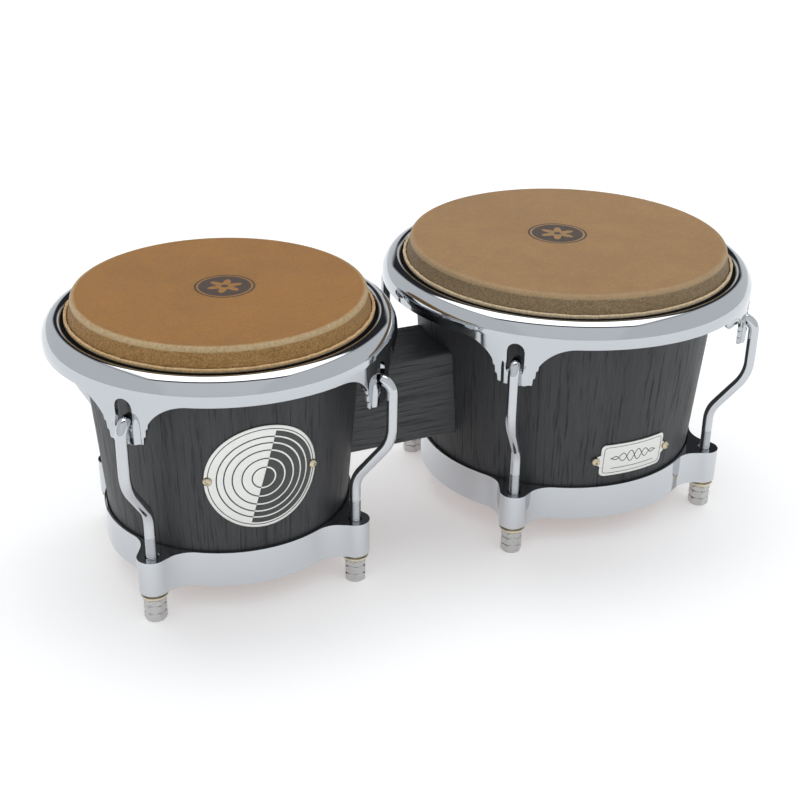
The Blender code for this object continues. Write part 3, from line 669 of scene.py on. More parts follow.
def head_skin(drum, finish, seed, ridge_height):
    """Rawhide disc, pressed ridge and collar. It stretches between the shell and the tuning rim."""
    edge, top = drum.head_radius, drum.head_height
    turned_down = (-3.0, 0), (-1.3, -0.35), (-0.35, -1.4), (0.2, -3.4)
    bend = through([(edge + out * MM, up * MM) for out, up in turned_down], 5)
    fall = np.linspace(0, 1, 15)[1:, None]
    skirt = bend[-1] + (np.array([edge + 2.4 * MM, -COLLAR_FOOT]) - bend[-1]) * fall
    skirt[:, 0] -= 0.5 * MM * np.sin(fall[:, 0] * math.pi)
    flat = [(radius, 0) for radius in np.linspace(0, edge - 4.0 * MM, 34)]
    face = np.array([*flat, *bend.tolist(), *skirt.tolist()])
    lip = np.array([(edge + 2.1 * MM, -COLLAR_FOOT - 0.4 * MM), (edge + 1.2 * MM, -COLLAR_FOOT)])
    hidden = [(edge - 1.2 * MM, -3.8 * MM), (edge - 2.2 * MM, -2.0 * MM), (edge - 4.0 * MM, -SKIN)]
    under = np.array([*hidden, (0.5 * edge, -SKIN), (0, -SKIN)])
    profile = np.vstack([face, lip, under])
    steps = 540
    around = np.arange(steps)[:, None] / steps
    radius = np.broadcast_to(profile[None, :, 0], (steps, len(profile))).copy()
    height = np.broadcast_to(profile[None, :, 1], (steps, len(profile))).copy()
    count = len(face)
    along = np.concatenate([[0], np.cumsum(np.linalg.norm(np.diff(profile, axis=0), axis=1))])
    past = along[None, :] - along[len(flat) + 10]
    rim_zone = np.exp(-((past[:, :count] / (1.1 * MM)) ** 2))
    beads = 0.5 + 0.5 * lattice_noise(seed, around, 0.5, 230, 1) * lattice_noise(seed + 1, around, 0.5, 64, 1)
    height[:, :count] += rim_zone * ridge_height * (0.55 + 0.45 * beads)
    collar_zone = smoothstep(1.0 * MM, 4.0 * MM, past[:, :count])
    pleats = lattice_noise(seed + 2, around, along[None, :count] / along[-1], 300, 60)
    slow = lattice_noise(seed + 3, around, 0.5, 40, 1)
    radius[:, :count] += collar_zone * (0.22 * MM * pleats + 0.18 * MM * slow)
    disc_zone = smoothstep(0, 25 * MM, profile[None, :count, 0]) * smoothstep(0, 6 * MM, -past[:, :count])
    sag = lattice_noise(seed + 4, around, profile[None, :count, 0] / edge, 7, 3)
    height[:, :count] += 0.12 * MM * disc_zone * sag
    jag = 0.35 * MM * lattice_noise(seed + 5, around, 0.5, 260, 1)
    height[:, count - 2 : count + 2] += jag
    grid = around_axis(radius, around * 2 * math.pi, top + height)
    name = f"{drum.name}_head_rawhide"
    values = np.broadcast_to(past / MM, (steps, len(profile))).astype(np.float32).ravel()
    mesh = mesh_of(name, grid, quads_of(steps, len(profile), True, False), None, edge=values)
    mesh.transform(Matrix.Translation(drum.centre))
    mesh.materials.append(finish)
    obj = bpy.data.objects.new(name, mesh)
    bpy.context.scene.collection.objects.link(obj)
    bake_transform(obj)
    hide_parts(f"{drum.name}_head_skin")


def tucked_edge(drum, finish, seed):
    """The skin wrapped round its flesh hoop, with the trimmed, frayed edge standing up beside the collar."""
    # (out from the head's edge, down from its plane), in millimetres: the trimmed edge, then the hoop.
    trimmed = [(2.6, 11.7), (4.3, 11.3), (4.6, 13.7), (3.9, 14.4)]
    hoop = [(4.3, 17.2), (9.3, 17.6), (9.8, 23.0), (3.6, 23.6)]
    section = softened(trimmed + hoop, [0.5, 0.7, 0.6, 0.5, 0.8, 1.4, 1.6, 1.4], closed=True)
    steps = 720
    around = np.arange(steps)[:, None] / steps
    radius = np.broadcast_to(drum.head_radius + section[None, :, 0] * MM, (steps, len(section))).copy()
    height = np.broadcast_to(drum.head_height - section[None, :, 1] * MM, (steps, len(section))).copy()
    upper = smoothstep(14.5, 12.2, section[None, :, 1])
    frayed = 0.45 * lattice_noise(seed, around, 0.5, 350, 1)
    frayed = frayed + 0.55 * lattice_noise(seed + 1, around, 0.5, 110, 1)
    strands = np.clip(lattice_noise(seed + 2, around, 0.5, 340, 1) - 0.72, 0, 1) * 5.0
    height += upper * MM * (0.3 * frayed + 0.5 * strands - 0.1)
    radius += upper * MM * 0.35 * lattice_noise(seed + 3, around, section[None, :, 0] / 10, 240, 12)
    grid = around_axis(radius, around * 2 * math.pi, height)
    name = f"{drum.name}_tucked_edge"
    mesh = grid_mesh(name, grid, sharp=60)
    piece(name, mesh, [finish], f"{drum.name}_rim", [f"{drum.name}_flesh_hoop"], drum.centre)


def ear_outline():
    """Half of an ear's lower edge, from its middle outward: (across, drop below the skirt's edge)."""
    corners = [(0, 27.4), (11.4, 27.4), (11.8, 22.7), (13.2, 21.7), (13.5, 17.3), (14.9, 16.2)]
    reaches = [0, 0.9, 0.5, 0.5, 0.5, 0.6]
    fillet = EAR_FILLET / MM
    start = math.cos(math.radians(EAR_FILLET_START))
    for turn in np.radians(np.linspace(EAR_FILLET_START + 3, 90, 23)):
        corners.append((14.4 + fillet * (start - math.cos(turn)), fillet * (1 - math.sin(turn))))
        reaches.append(0)
    edge = softened(corners, reaches, 3)
    edge = edge[np.diff(edge[:, 0], prepend=-1) > 0.02]
    middle = [(across, 27.4) for across in np.arange(0.0, 10.2, 0.58)]
    return np.array([*middle, *edge[1:].tolist()]) * MM


def rim_columns(drum):
    """(angle, drop, signed distance from the nearest ear's middle) of each column round the rim."""
    half = ear_outline()
    whole = np.vstack([half[:0:-1] * (-1, 1), half])
    reach = drum.head_radius + RIM_SKIRT_REACH
    columns = []
    for i, (_, middle) in enumerate(drum.lugs):
        columns += [(middle + across / reach, drop, across) for across, drop in whole]
        end = drum.lugs[(i + 1) % LUGS][1] - half[-1, 0] / reach
        start = middle + half[-1, 0] / reach
        width = (end - start) % (2 * math.pi)
        # The spacing starts and ends fine, as in the ears, so that the reflections run on without a seam.
        for share in np.arange(1, BAND_COLUMNS) / BAND_COLUMNS:
            eased = share - 0.4 * math.sin(2 * math.pi * share) / (2 * math.pi)
            columns.append((start + width * eased, 0.0, reach))
    return columns


def plate_bulge(across, down):
    """How far the tongue round an ear's slot stands out. Under the hook it only starts below the slot."""
    side = smoothstep(9.2 * MM, 6.6 * MM, abs(across))
    cheek = smoothstep(39 * MM, 48 * MM, down)
    seat = smoothstep(45.2 * MM, 48.2 * MM, down)
    beside = smoothstep(4.4 * MM, 5.8 * MM, abs(across))
    return TONGUE_BULGE * side * (seat + (cheek - seat) * beside)


def plate_reach(across, down):
    """Outer face of the skirt and ears, as an offset from the head's radius."""
    below = np.maximum(down - RIM_SKIRT_DEPTH, 0)
    above = np.clip((down - ROLL_END_DEPTH) / (RIM_SKIRT_DEPTH - ROLL_END_DEPTH), 0, 1)
    return (18.9 - 0.2 * above) * MM - EAR_LEAN * below + plate_bulge(across, down)


def plate_levels(drop, across):
    """Depths of a column's rows from the end of the roll to the ear's or skirt's lower edge.

    The first rows are level all round the rim. The rest follow the slot, and squeeze up in a shorter column.
    """
    level = ROLL_END_DEPTH + np.arange(SKIRT_ROWS + 1) * 0.8 * MM
    start, lowest = level[-1], RIM_SKIRT_DEPTH + EAR_DROP - 0.5 * MM
    share = (RIM_SKIRT_DEPTH + drop - 0.5 * MM - start) / (lowest - start)
    inside = min(abs(across) / SLOT_HALF_WIDTH, 1.0)
    arch = SLOT_TOP_DEPTH + SLOT_HALF_WIDTH * (1 - math.sqrt(1 - inside**2))
    marks = [start + (mark - start) * share for mark in (start, arch, SLOT_FOOT_DEPTH, lowest)]
    levels = level.tolist()
    for high, low, rows in zip(marks, marks[1:], SLOT_ROWS):
        levels += [high + (low - high) * step / rows for step in range(1, rows + 1)]
    return levels


def rim_section(drum, drop, across):
    """Closed section of the rim: over the roll, down the plate, round its edge and back up inside."""
    roll = through([(5.5, 16.6), (6.4, 14.6), (9.5, 13.2), (14.6, 15.6), (18.0, 20.6), (18.9, 25.0)], 5)
    levels = plate_levels(drop, across)
    outer = [(plate_reach(across, down), down) for down in levels[1:]]
    inner = [(reach - RIM_PLATE, down) for reach, down in reversed(outer)]
    last_out, last_down = outer[-1]
    turn = np.radians(np.linspace(30, 150, RIM_EDGE_STEPS))
    half = RIM_PLATE / 2
    edge = [(last_out - half + half * math.cos(t), last_down + 0.5 * MM * math.sin(t)) for t in turn]
    under = through([(16.2, 25.0), (15.6, 21.8), (13.4, 18.4), (9.6, 16.2), (7.0, 17.2), (6.0, 17.5)], 4) * MM
    section = [*(roll * MM).tolist(), *outer, *edge, *inner, *under.tolist()]
    return [(drum.head_radius + out, drum.head_height - down) for out, down in section], len(roll)


# Least agreement of a face's own normal with the surface's. Below it the corner is at a sharp edge.
SAME_SURFACE = 0.94


def true_normals(mesh, grid, angles):
    """Shades the faces by the surface's own normals, so that uneven columns leave no seam in a reflection."""
    wrapped = np.concatenate([grid[-2:], grid, grid[:2]])
    turns = np.unwrap(angles)
    turns = np.concatenate([turns[-2:] - 2 * math.pi, turns, turns[:2] + 2 * math.pi])
    aside = np.gradient(wrapped, turns, axis=0)[2:-2]
    down = np.gradient(grid, axis=1)
    normals = np.cross(aside, down)
    normals /= np.maximum(np.linalg.norm(normals, axis=2, keepdims=True), 1e-12)
    normals = normals.reshape(-1, 3)
    corners = np.empty(len(mesh.loops), np.int32)
    mesh.loops.foreach_get("vertex_index", corners)
    owners = np.repeat(np.arange(len(mesh.polygons)), [polygon.loop_total for polygon in mesh.polygons])
    faces = np.empty(len(mesh.polygons) * 3)
    mesh.polygons.foreach_get("normal", faces)
    faces = faces.reshape(-1, 3)[owners]
    wanted = normals[corners]
    agree = (wanted * faces).sum(1)
    wanted *= np.sign(agree)[:, None]
    wanted[np.abs(agree) < SAME_SURFACE] = 0
    mesh.normals_split_custom_set(wanted.tolist())


def tuning_rim(drum):
    columns = rim_columns(drum)
    sections = [rim_section(drum, drop, across) for _, drop, across in columns]
    roll_rows = sections[0][1]
    profile = np.array([section for section, _ in sections])
    angles = np.array([angle for angle, _, _ in columns])[:, None]
    grid = around_axis(profile[..., 0], angles, profile[..., 1])
    count, rows = grid.shape[:2]
    faces = quads_of(count, rows).reshape(count, rows, 4)
    keep = np.ones((count, rows), bool)
    top = roll_rows - 1 + SKIRT_ROWS + SLOT_ROWS[0]
    foot = top + SLOT_ROWS[1]
    plate_rows = SKIRT_ROWS + sum(SLOT_ROWS)
    last = roll_rows - 1 + plate_rows
    mirror = 2 * last + RIM_EDGE_STEPS + 1  # the inner row behind outer row r is mirror - r
    index = np.arange(count * rows).reshape(count, rows)
    points = grid.reshape(-1, 3).tolist()
    walls = []
    across = np.array([column[2] for column in columns])
    for ear in range(LUGS):
        middle = drum.lugs[ear][1]
        near = np.abs((angles[:, 0] - middle + math.pi) % (2 * math.pi) - math.pi) < 0.5
        slot = np.flatnonzero(near & (np.abs(across) < SLOT_HALF_WIDTH + 1e-6))
        first, end = slot[0], slot[-1]
        keep[first:end, top:foot] = False
        keep[first:end, mirror - foot : mirror - top] = False
        loop = [(column, top) for column in range(first, end)]
        loop += [(end, row) for row in range(top, foot)]
        loop += [(column, foot) for column in range(end, first, -1)]
        loop += [(first, row) for row in range(foot, top, -1)]
        for (a, b), (c, d) in zip(loop, loop[1:] + loop[:1]):
            walls.append((index[a, b], index[c, d], index[c, mirror - d], index[a, mirror - b]))
    name = f"{drum.name}_rim_chrome"
    mesh = mesh_of(name, points, [*faces[keep].tolist(), *walls], 40)
    true_normals(mesh, grid, angles[:, 0])
    body = f"{drum.name}_rim"
    return piece(name, mesh, [RIM_CHROME], body, [f"{drum.name}_tuning_rim"], drum.centre)


def lug_path(drum):
    """Centre line of a lug as (reach past its foot, height), and the share of thread at each point."""
    run = drum.lug_jog
    hook = drum.head_height - HOOK_CENTRE_DEPTH
    thread = np.arange(LUG_FOOT + LUG_CAP, THREAD_TOP, THREAD_PITCH / 8)
    straight = [(0, height) for height in thread]
    bends = softened(
        [(0, THREAD_TOP), (0, LUG_BENDS[0]), (run, LUG_BENDS[1]), (run, hook - 2 * MM)],
        [0, 14 * MM, 10 * MM, 0],
        12,
    )
    turns = np.radians(np.linspace(0, 135, 19))
    arc = np.stack([run - HOOK_RADIUS + HOOK_RADIUS * np.cos(turns), hook + HOOK_RADIUS * np.sin(turns)], -1)
    tip = arc[-1] + np.array([-1, -1]) * math.sqrt(0.5) * np.linspace(1.5, 6.0, 3)[:, None] * MM
    path = np.vstack([straight, bends, arc, tip])
    threaded = np.zeros(len(path))
    threaded[: len(straight)] = smoothstep(0, THREAD_RUN_OUT, THREAD_TOP - thread)
    return path, threaded


def lug_mesh(drum, name):
    path, threaded = lug_path(drum)
    tangent = np.gradient(path, axis=0)
    tangent /= np.linalg.norm(tangent, axis=1)[:, None]
    sides = 24
    turns = np.arange(sides)[None, :] / sides
    ridge = np.abs(((path[:, 1:] / THREAD_PITCH - turns) % 1.0) * 2 - 1)
    radius = LUG_ROD_RADIUS - THREAD_DEPTH * threaded[:, None] * smoothstep(0.15, 0.85, ridge)
    normal = np.stack([tangent[:, 1], -tangent[:, 0]], -1)
    swing = turns * 2 * math.pi
    out = path[:, :1] + radius * np.cos(swing) * normal[:, :1]
    up = path[:, 1:] + radius * np.cos(swing) * normal[:, 1:]
    rings = np.stack([out, radius * np.sin(swing), up], -1)
    ends = []
    for ring, along, centre in ((rings[0], -tangent[0], path[0]), (rings[-1], tangent[-1], path[-1])):
        middle = np.array([centre[0], 0, centre[1]])
        push = np.array([along[0], 0, along[1]])
        caps = ((0.93, 0.5), (0.75, 1.0), (0.45, 1.3), (0, 1.4))
        ends.append([middle + (ring - middle) * share + push * reach * MM for share, reach in caps])
    grid = np.concatenate([ends[0][::-1], rings, ends[1]])
    return grid_mesh(name, grid, False, True, 60)


def tuning_lugs(drum):
    for number, (radius, angle) in enumerate(drum.lugs, start=1):
        name = f"{drum.name}_lug_{number}"
        nodes = [f"{drum.name}_tuning_lug_{number}"]
        foot = drum.lug_spot(radius, angle)
        turn = Euler((0, 0, angle + drum.lug_swing))
        piece(name, lug_mesh(drum, name), [LUG_CHROME], f"{drum.name}_rim", nodes, foot, turn)


def nut_mesh(name, height):
    """Long hexagonal nut. Two V grooves bite its corners, and its ends are chamfered by cones."""
    steps = 96
    angles = np.arange(steps)[:, None] * 2 * math.pi / steps
    folded = angles % (math.pi / 3) - math.pi / 6
    hexagon = NUT_APOTHEM / np.cos(folded)
    levels = [np.linspace(0, 2.4, 9), np.linspace(2.4, 13.6, 8), np.linspace(13.6, height / MM, 5)]
    levels += [np.linspace(groove - 1.0, groove + 1.0, 9) for groove in NUT_GROOVES]
    z = np.unique(np.concatenate(levels).round(4)) * MM
    groove = np.minimum(*[6.1 * MM + 1.25 * np.abs(z - groove * MM) for groove in NUT_GROOVES])
    rise = np.clip(z / (2.1 * MM), 0, 1)
    foot_cone = 5.3 * MM + np.sqrt(rise * (2 - rise)) * 2.1 * MM
    head_cone = 6.5 * MM + (height - z) * 1.2
    limit = np.minimum(np.minimum(groove, foot_cone), np.minimum(head_cone, NUT_CORNER))
    outside = np.minimum(hexagon, limit[None, :])
    bore = np.array([(3.9, height / MM), (3.9, 1.2), (4.7, 0.4), (5.0, 0.0)]) * MM
    radius = np.hstack([outside, np.broadcast_to(bore[None, :, 0], (steps, len(bore)))])
    heights = np.concatenate([z, bore[:, 1]])
    return grid_mesh(name, around_axis(radius, angles, heights[None, :]), True, True, 25)


def washer_mesh(name, foot, top):
    """Flanged washer: a cone that flares up from the nut, a thin flange and a narrow neck above it."""
    flange = foot + 2.2 * MM
    lip = foot + 3.2 * MM
    corners = [(4.6, foot), (4.6, top), (6.3, top), (6.3, lip), (8.6, lip), (8.6, flange), (7.1, foot)]
    profile = softened(
        [(radius * MM, height) for radius, height in corners],
        [0.2 * MM, 0.2 * MM, 0.2 * MM, 0.4 * MM, 0.35 * MM, 0.35 * MM, 0.3 * MM],
        closed=True,
    )
    return turned_mesh(name, profile, 64)


def nuts_and_washers(drum):
    for number, (radius, angle) in enumerate(drum.lugs, start=1):
        spot, turn = drum.lug_spot(radius, angle), Euler((0, 0, angle))
        nut, body = f"{drum.name}_lug_nut_{number}", f"{drum.name}_nut_{number}"
        mesh = nut_mesh(f"{body}_steel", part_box(nut)[1].z)
        piece(mesh.name, mesh, [NUT_STEEL], body, [nut], spot, turn)
        washer = f"{drum.name}_lug_washer_{number}"
        low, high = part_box(washer)
        mesh = washer_mesh(f"{drum.name}_washer_{number}", low.z, high.z)
        piece(mesh.name, mesh, [WASHER_BRASS], "root", [washer], spot)


def boss_outline(band, lug_radius):
    """Outline of one boss from fillet to fillet, as (radius, angle), and its half width as an angle."""
    centre_reach = band + BOSS_FILLET
    side = BOSS_RADIUS + BOSS_FILLET
    spread = math.acos((centre_reach**2 + lug_radius**2 - side**2) / (2 * centre_reach * lug_radius))
    fillet_centre = np.array([centre_reach * math.cos(spread), centre_reach * math.sin(spread)])
    boss_centre = np.array([lug_radius, 0.0])
    lean = math.atan2(*(fillet_centre - boss_centre)[::-1])
    half = []
    for swing in np.linspace(0, lean, 14):
        half.append(boss_centre + BOSS_RADIUS * np.array([math.cos(swing), math.sin(swing)]))
    for swing in np.linspace(math.pi + lean, math.pi + spread, 9)[1:]:
        half.append(fillet_centre + BOSS_FILLET * np.array([math.cos(swing), math.sin(swing)]))
    polar = [(float(np.hypot(*point)), math.atan2(point[1], point[0])) for point in half]
    return [(radius, -angle) for radius, angle in polar[:0:-1]] + polar, spread


def bottom_ring(drum):
    """Cast band with four bosses and an inner lip, its edges rounded, bored for the lugs."""
    band = drum.shell_radius(drum.ring_top) + RING_WALL
    outline = []
    for i, (lug_radius, middle) in enumerate(drum.lugs):
        boss, spread = boss_outline(band, lug_radius)
        for j, (radius, angle) in enumerate(boss):
            outline.append((radius, middle + angle, middle + spread * (2 * j / (len(boss) - 1) - 1)))
        start, end = middle + spread, drum.lugs[(i + 1) % LUGS][1] - spread
        width = (end - start) % (2 * math.pi)
        for share in np.arange(1, 36) / 36:
            outline.append((band, start + width * share, start + width * share))
    low, high = drum.ring_foot, drum.ring_top
    under, over = drum.shell_radius(drum.shell_foot), drum.shell_radius(high)
    corner_steps = 5
    columns = []
    for radius, outer, inner in outline:
        section = softened(
            [
                (radius, low, 1),
                (radius, high, 1),
                (over + RING_CLEARANCE, high, 0),
                (under + RING_CLEARANCE, low + RING_LIP, 0),
                (under - RING_LIP_REACH, low + RING_LIP, 0),
                (under - RING_LIP_REACH, low, 0),
            ],
            [2.2 * MM, 0.9 * MM, 0.4 * MM, 0.6 * MM, 0.6 * MM, 0.6 * MM],
            corner_steps,
            closed=True,
        )
        # Rows up the outer wall, between its two rounded edges.
        wall = np.linspace(0, 1, 8)[1:-1, None]
        at = corner_steps + 1
        face = section[at - 1] + (section[at] - section[at - 1]) * wall
        section = np.vstack([section[:at], face, section[at:]])
        share = section[:, 2]
        columns.append(around_axis(section[:, 0], inner + (outer - inner) * share, section[:, 1]))
    name = f"{drum.name}_ring_cast"
    mesh = grid_mesh(name, np.array(columns), sharp=40)
    obj = piece(name, mesh, [RING_CHROME], "root", [f"{drum.name}_bottom_ring"], drum.centre)
    points, faces = [], []
    for lug_radius, middle in drum.lugs:
        turns = np.linspace(0, 2 * math.pi, 33)[:-1]
        tool = []
        flare = ((low - 2 * MM, 0), (high - 0.2 * MM, 0), (high, 0.2 * MM), (high + 2 * MM, 2.2 * MM))
        for height, grow in flare:
            across = (BOSS_BORE + grow) * np.sin(turns)
            out = lug_radius + (BOSS_BORE + grow) * np.cos(turns)
            swing = [[math.cos(middle), math.sin(middle)], [-math.sin(middle), math.cos(middle)]]
            flat = np.stack([out, across], -1) @ np.array(swing)
            tool.append(np.column_stack([flat, np.full(len(turns), height)]))
        first = len(points)
        points += np.concatenate(tool).tolist()
        faces += quads_of(4, len(turns), False, True, first).tolist()
        faces.append([first + i for i in range(len(turns))])
        faces.append([first + 3 * len(turns) + i for i in range(len(turns))])
    cut_away(obj, f"{name}_bores", points, faces)


# ---------------------------------------------------------------- block, badges and fasteners


def centre_block():
    """The block between the shells: rounded long edges, ends hollowed to the cones, grain along X."""
    low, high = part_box("centre_block")
    half, middle = high.y, (low.z + high.z) / 2
    tall = (high.z - low.z) / 2
    corners = [(half, tall), (-half, tall), (-half, -tall), (half, -tall)]
    ring = divided(softened(corners, 2.6 * MM, 5, closed=True), 0.55 * MM)
    around = np.arange(len(ring)) / len(ring)

    def end_x(drum, section):
        reach = np.array([drum.shell_radius(middle + z) + GAP for z in section[:, 1]])
        depth = np.sqrt(reach**2 - section[:, 0] ** 2)
        return drum.axis_x + depth if drum.block_angle == 0 else drum.axis_x - depth

    def slab(section, x):
        return np.column_stack([x, section[:, 0], middle + section[:, 1]])

    rows = []
    for share in (0, 0.3, 0.6, 0.85):
        rows.append(slab(ring * share, end_x(MACHO, ring * share)))
    spans = np.linspace(0, 1, 60)
    for share in spans:
        depth = wood_relief(91, around, np.full(len(ring), share), 150) * 0.24 * MM
        depth = depth * smoothstep(0, 0.02, share) * smoothstep(0, 0.02, 1 - share)
        shrink = 1 - depth / np.linalg.norm(ring, axis=1)
        section = ring * shrink[:, None]
        x = end_x(MACHO, ring) * (1 - share) + end_x(HEMBRA, ring) * share
        rows.append(slab(section, x))
    for share in (0.85, 0.6, 0.3, 0):
        rows.append(slab(ring * share, end_x(HEMBRA, ring * share)))
    mesh = grid_mesh("centre_block_wood", np.array(rows), False, True, 45)
    piece("centre_block_wood", mesh, [BLACK_BLOCK], "root", ["centre_block"])


def on_cone(drum, across, height, middle, out):
    """Points off the shell's face, at distances across it from a middle angle."""
    across, height, out = np.broadcast_arrays(across, height, out)
    radius = drum.shell_radius(height)
    return around_axis(radius + out, middle + across / radius, height)


def seat_of(drum, node):
    """Angle and height of the middle of a badge or screw on a drum's shell."""
    low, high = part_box(node)
    spot = (low + high) / 2
    return math.atan2(spot.y, spot.x - drum.axis_x), spot.z


def plate_shape(outline, rings, thick, round_edge=0.3 * MM):
    """Grid of (across, up, out) for a plate from the middle of its back to the middle of its face."""
    rows = [outline * 0.0, outline * 0.5, outline * (1 - 2e-3)]
    outs = [0.0, 0.0, 0.0]
    for share, out in ((1.0, round_edge), (1.0, thick - round_edge), (1 - round_edge / 20 / MM, thick)):
        rows.append(outline * share)
        outs.append(out)
    for share in np.linspace(0.97, 0, rings):
        rows.append(outline * share)
        outs.append(thick)
    return rows, outs


def bent_badge(drum, name, outline, node, inlays, screw_nodes):
    """A silver plate bent round the shell with black enamel inlays, and its two screws."""
    angle, height = seat_of(drum, node)
    rows, outs = plate_shape(outline, 9, BADGE)
    grid = [on_cone(drum, row[:, 0], height + row[:, 1], angle, GAP + out) for row, out in zip(rows, outs)]
    count = len(outline)
    points = np.concatenate(grid)
    faces = quads_of(len(grid), count, False, True).tolist()
    slots = [0] * len(faces)
    for strip, closed in inlays:
        first = len(points)
        lower = on_cone(drum, strip[..., 0], height + strip[..., 1], angle, GAP + BADGE - 0.1 * MM)
        upper = on_cone(drum, strip[..., 0], height + strip[..., 1], angle, GAP + BADGE + 0.07 * MM)
        columns, across = strip.shape[:2]
        loop = np.concatenate([lower, upper[:, ::-1]], axis=1)
        made = quads_of(columns, 2 * across, closed, True, first).tolist()
        if not closed:
            for end in (0, columns - 1):
                start = first + end * 2 * across
                back = start + 2 * across - 1
                made += [[start + i, start + i + 1, back - 1 - i, back - i] for i in range(across - 1)]
        points = np.concatenate([points, loop.reshape(-1, 3)])
        faces += made
        slots += [1] * len(made)
    mesh = mesh_of(name, points, faces, 40, slots)
    piece(name, mesh, [BADGE_SILVER, ENAMEL], "root", [node], drum.centre)
    for number, screw_node in enumerate(screw_nodes, start=1):
        screw_angle = seat_of(drum, screw_node)[0]
        radius = drum.shell_radius(height) + GAP + BADGE
        outward = Vector((math.cos(screw_angle), math.sin(screw_angle), 0))
        seat = drum.centre + outward * radius + Vector((0, 0, height))
        cross_head_screw(f"{name}_screw_{number}", screw_node, seat, outward, 25 + 40 * number)


# A screw's profile from its crown to its point, and a recess slot's (height, half length, half width).
SCREW_HEAD = [(0, 2.2), (0.7, 2.15), (1.4, 1.98), (2.1, 1.6), (2.65, 1.05), (2.9, 0.5), (2.85, 0.3)]
SCREW_SHANK = [(2.4, 0.25), (1.3, 0.25), (1.3, -6.6), (0.6, -7.0), (0, -7.0)]
CROSS_RECESS = ((2.6, 1.75, 0.42), (1.2, 0.7, 0.3))
BOX_FACES = ((0, 1, 2, 3), (7, 6, 5, 4), (0, 4, 5, 1), (1, 5, 6, 2), (2, 6, 7, 3), (3, 7, 4, 0))


def cross_head_screw(name, node, seat, outward, turn):
    """Domed brass screw with a tapered cross recess, axis outward."""
    mesh = turned_mesh(name, np.array(SCREW_HEAD + SCREW_SHANK) * MM, 40, closed=False, sharp=45)
    obj = piece(name, mesh, [SCREW_BRASS], "root", [node], seat)
    facing = outward.to_track_quat("Z", "Y").to_matrix().to_4x4()
    obj.matrix_world = Matrix.Translation(seat) @ facing @ Matrix.Rotation(math.radians(turn), 4, "Z")
    bpy.context.view_layer.update()
    for label, swing in (("a", 0), ("b", math.pi / 2)):
        points = []
        for height, long, wide in CROSS_RECESS:
            for x, y in ((long, wide), (-long, wide), (-long, -wide), (long, -wide)):
                across = x * math.cos(swing) - y * math.sin(swing)
                up = x * math.sin(swing) + y * math.cos(swing)
                points.append((across * MM, up * MM, height * MM))
        cut_away(obj, f"{name}_recess_{label}", points, BOX_FACES)


def arc_strip(inner, outer, start, end, steps, rows=3):
    """Strip between two radii and two angles, as a grid of (across, up) points."""
    angle, reach = np.linspace(start, end, steps + 1)[:, None], np.linspace(inner, outer, rows)[None, :]
    angle, reach = np.broadcast_arrays(angle, reach)
    return np.stack([reach * np.cos(angle), reach * np.sin(angle)], -1)


def ring_strip(inner, outer, steps=120, rows=3):
    return arc_strip(inner, outer, 0, 2 * math.pi * (1 - 1 / steps), steps - 1, rows=rows)


def line_strip(path, width):
    """Strip of even width along a path of (across, up) points."""
    path = np.asarray(path, float)
    along = np.gradient(path, axis=0)
    along /= np.linalg.norm(along, axis=1)[:, None]
    aside = np.stack([-along[:, 1], along[:, 0]], -1)
    return np.stack([path - aside * width / 2, path + aside * width / 2], axis=1)


def round_badge():
    """Silver disc halved by a tilted line: thin black arcs on one side, thin silver arcs on the other."""
    low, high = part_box("round_badge")
    radius = (high.z - low.z) / 2
    turns = np.arange(120) * 2 * math.pi / 120
    outline = radius * np.stack([np.cos(turns), np.sin(turns)], -1)
    tilt, half_turn = math.radians(-14), math.pi
    left, right = tilt + half_turn / 2, tilt - half_turn / 2
    arcs = np.array((0.2, 0.37, 0.53, 0.67, 0.79))
    inlays = [(ring_strip(0.93 * radius, 0.945 * radius), True)]
    for share in arcs:
        inner, outer = (share - 0.011) * radius, (share + 0.011) * radius
        inlays.append((arc_strip(inner, outer, left, left + half_turn, 48), False))
    for near, far in zip([0.004, *(arcs + 0.014)], [*(arcs - 0.014), 0.9]):
        strip = arc_strip(near * radius, far * radius, right, right + half_turn, 60, rows=5)
        inlays.append((strip, False))
    screws = ["round_badge_screw_1", "round_badge_screw_2"]
    bent_badge(MACHO, "round_badge_plate", outline, "round_badge", inlays, screws)


def oblong_outline(half_width, half_height, corner, tab):
    """Rounded rectangle with a round screw tab at each end, all the way round from the right tab."""
    inner_x, inner_z = half_width - corner, half_height - corner
    quarter = [(half_width + tab * 0.8 * math.cos(t), tab * math.sin(t)) for t in np.radians((0, 25, 50, 70))]
    quarter.append((half_width, tab * 1.02))
    quarter += [(half_width, z) for z in np.linspace(tab * 1.15, inner_z, 3)[:-1]]
    for t in np.radians((0, 22, 45, 67, 90)):
        quarter.append((inner_x + corner * math.cos(t), inner_z + corner * math.sin(t)))
    quarter += [(x, half_height) for x in np.linspace(inner_x, 0, 12)[1:]]
    quarter = np.array(quarter)
    half = np.vstack([quarter, quarter[-2::-1] * (-1, 1)])
    return np.vstack([half, half[-2:0:-1] * (1, -1)])


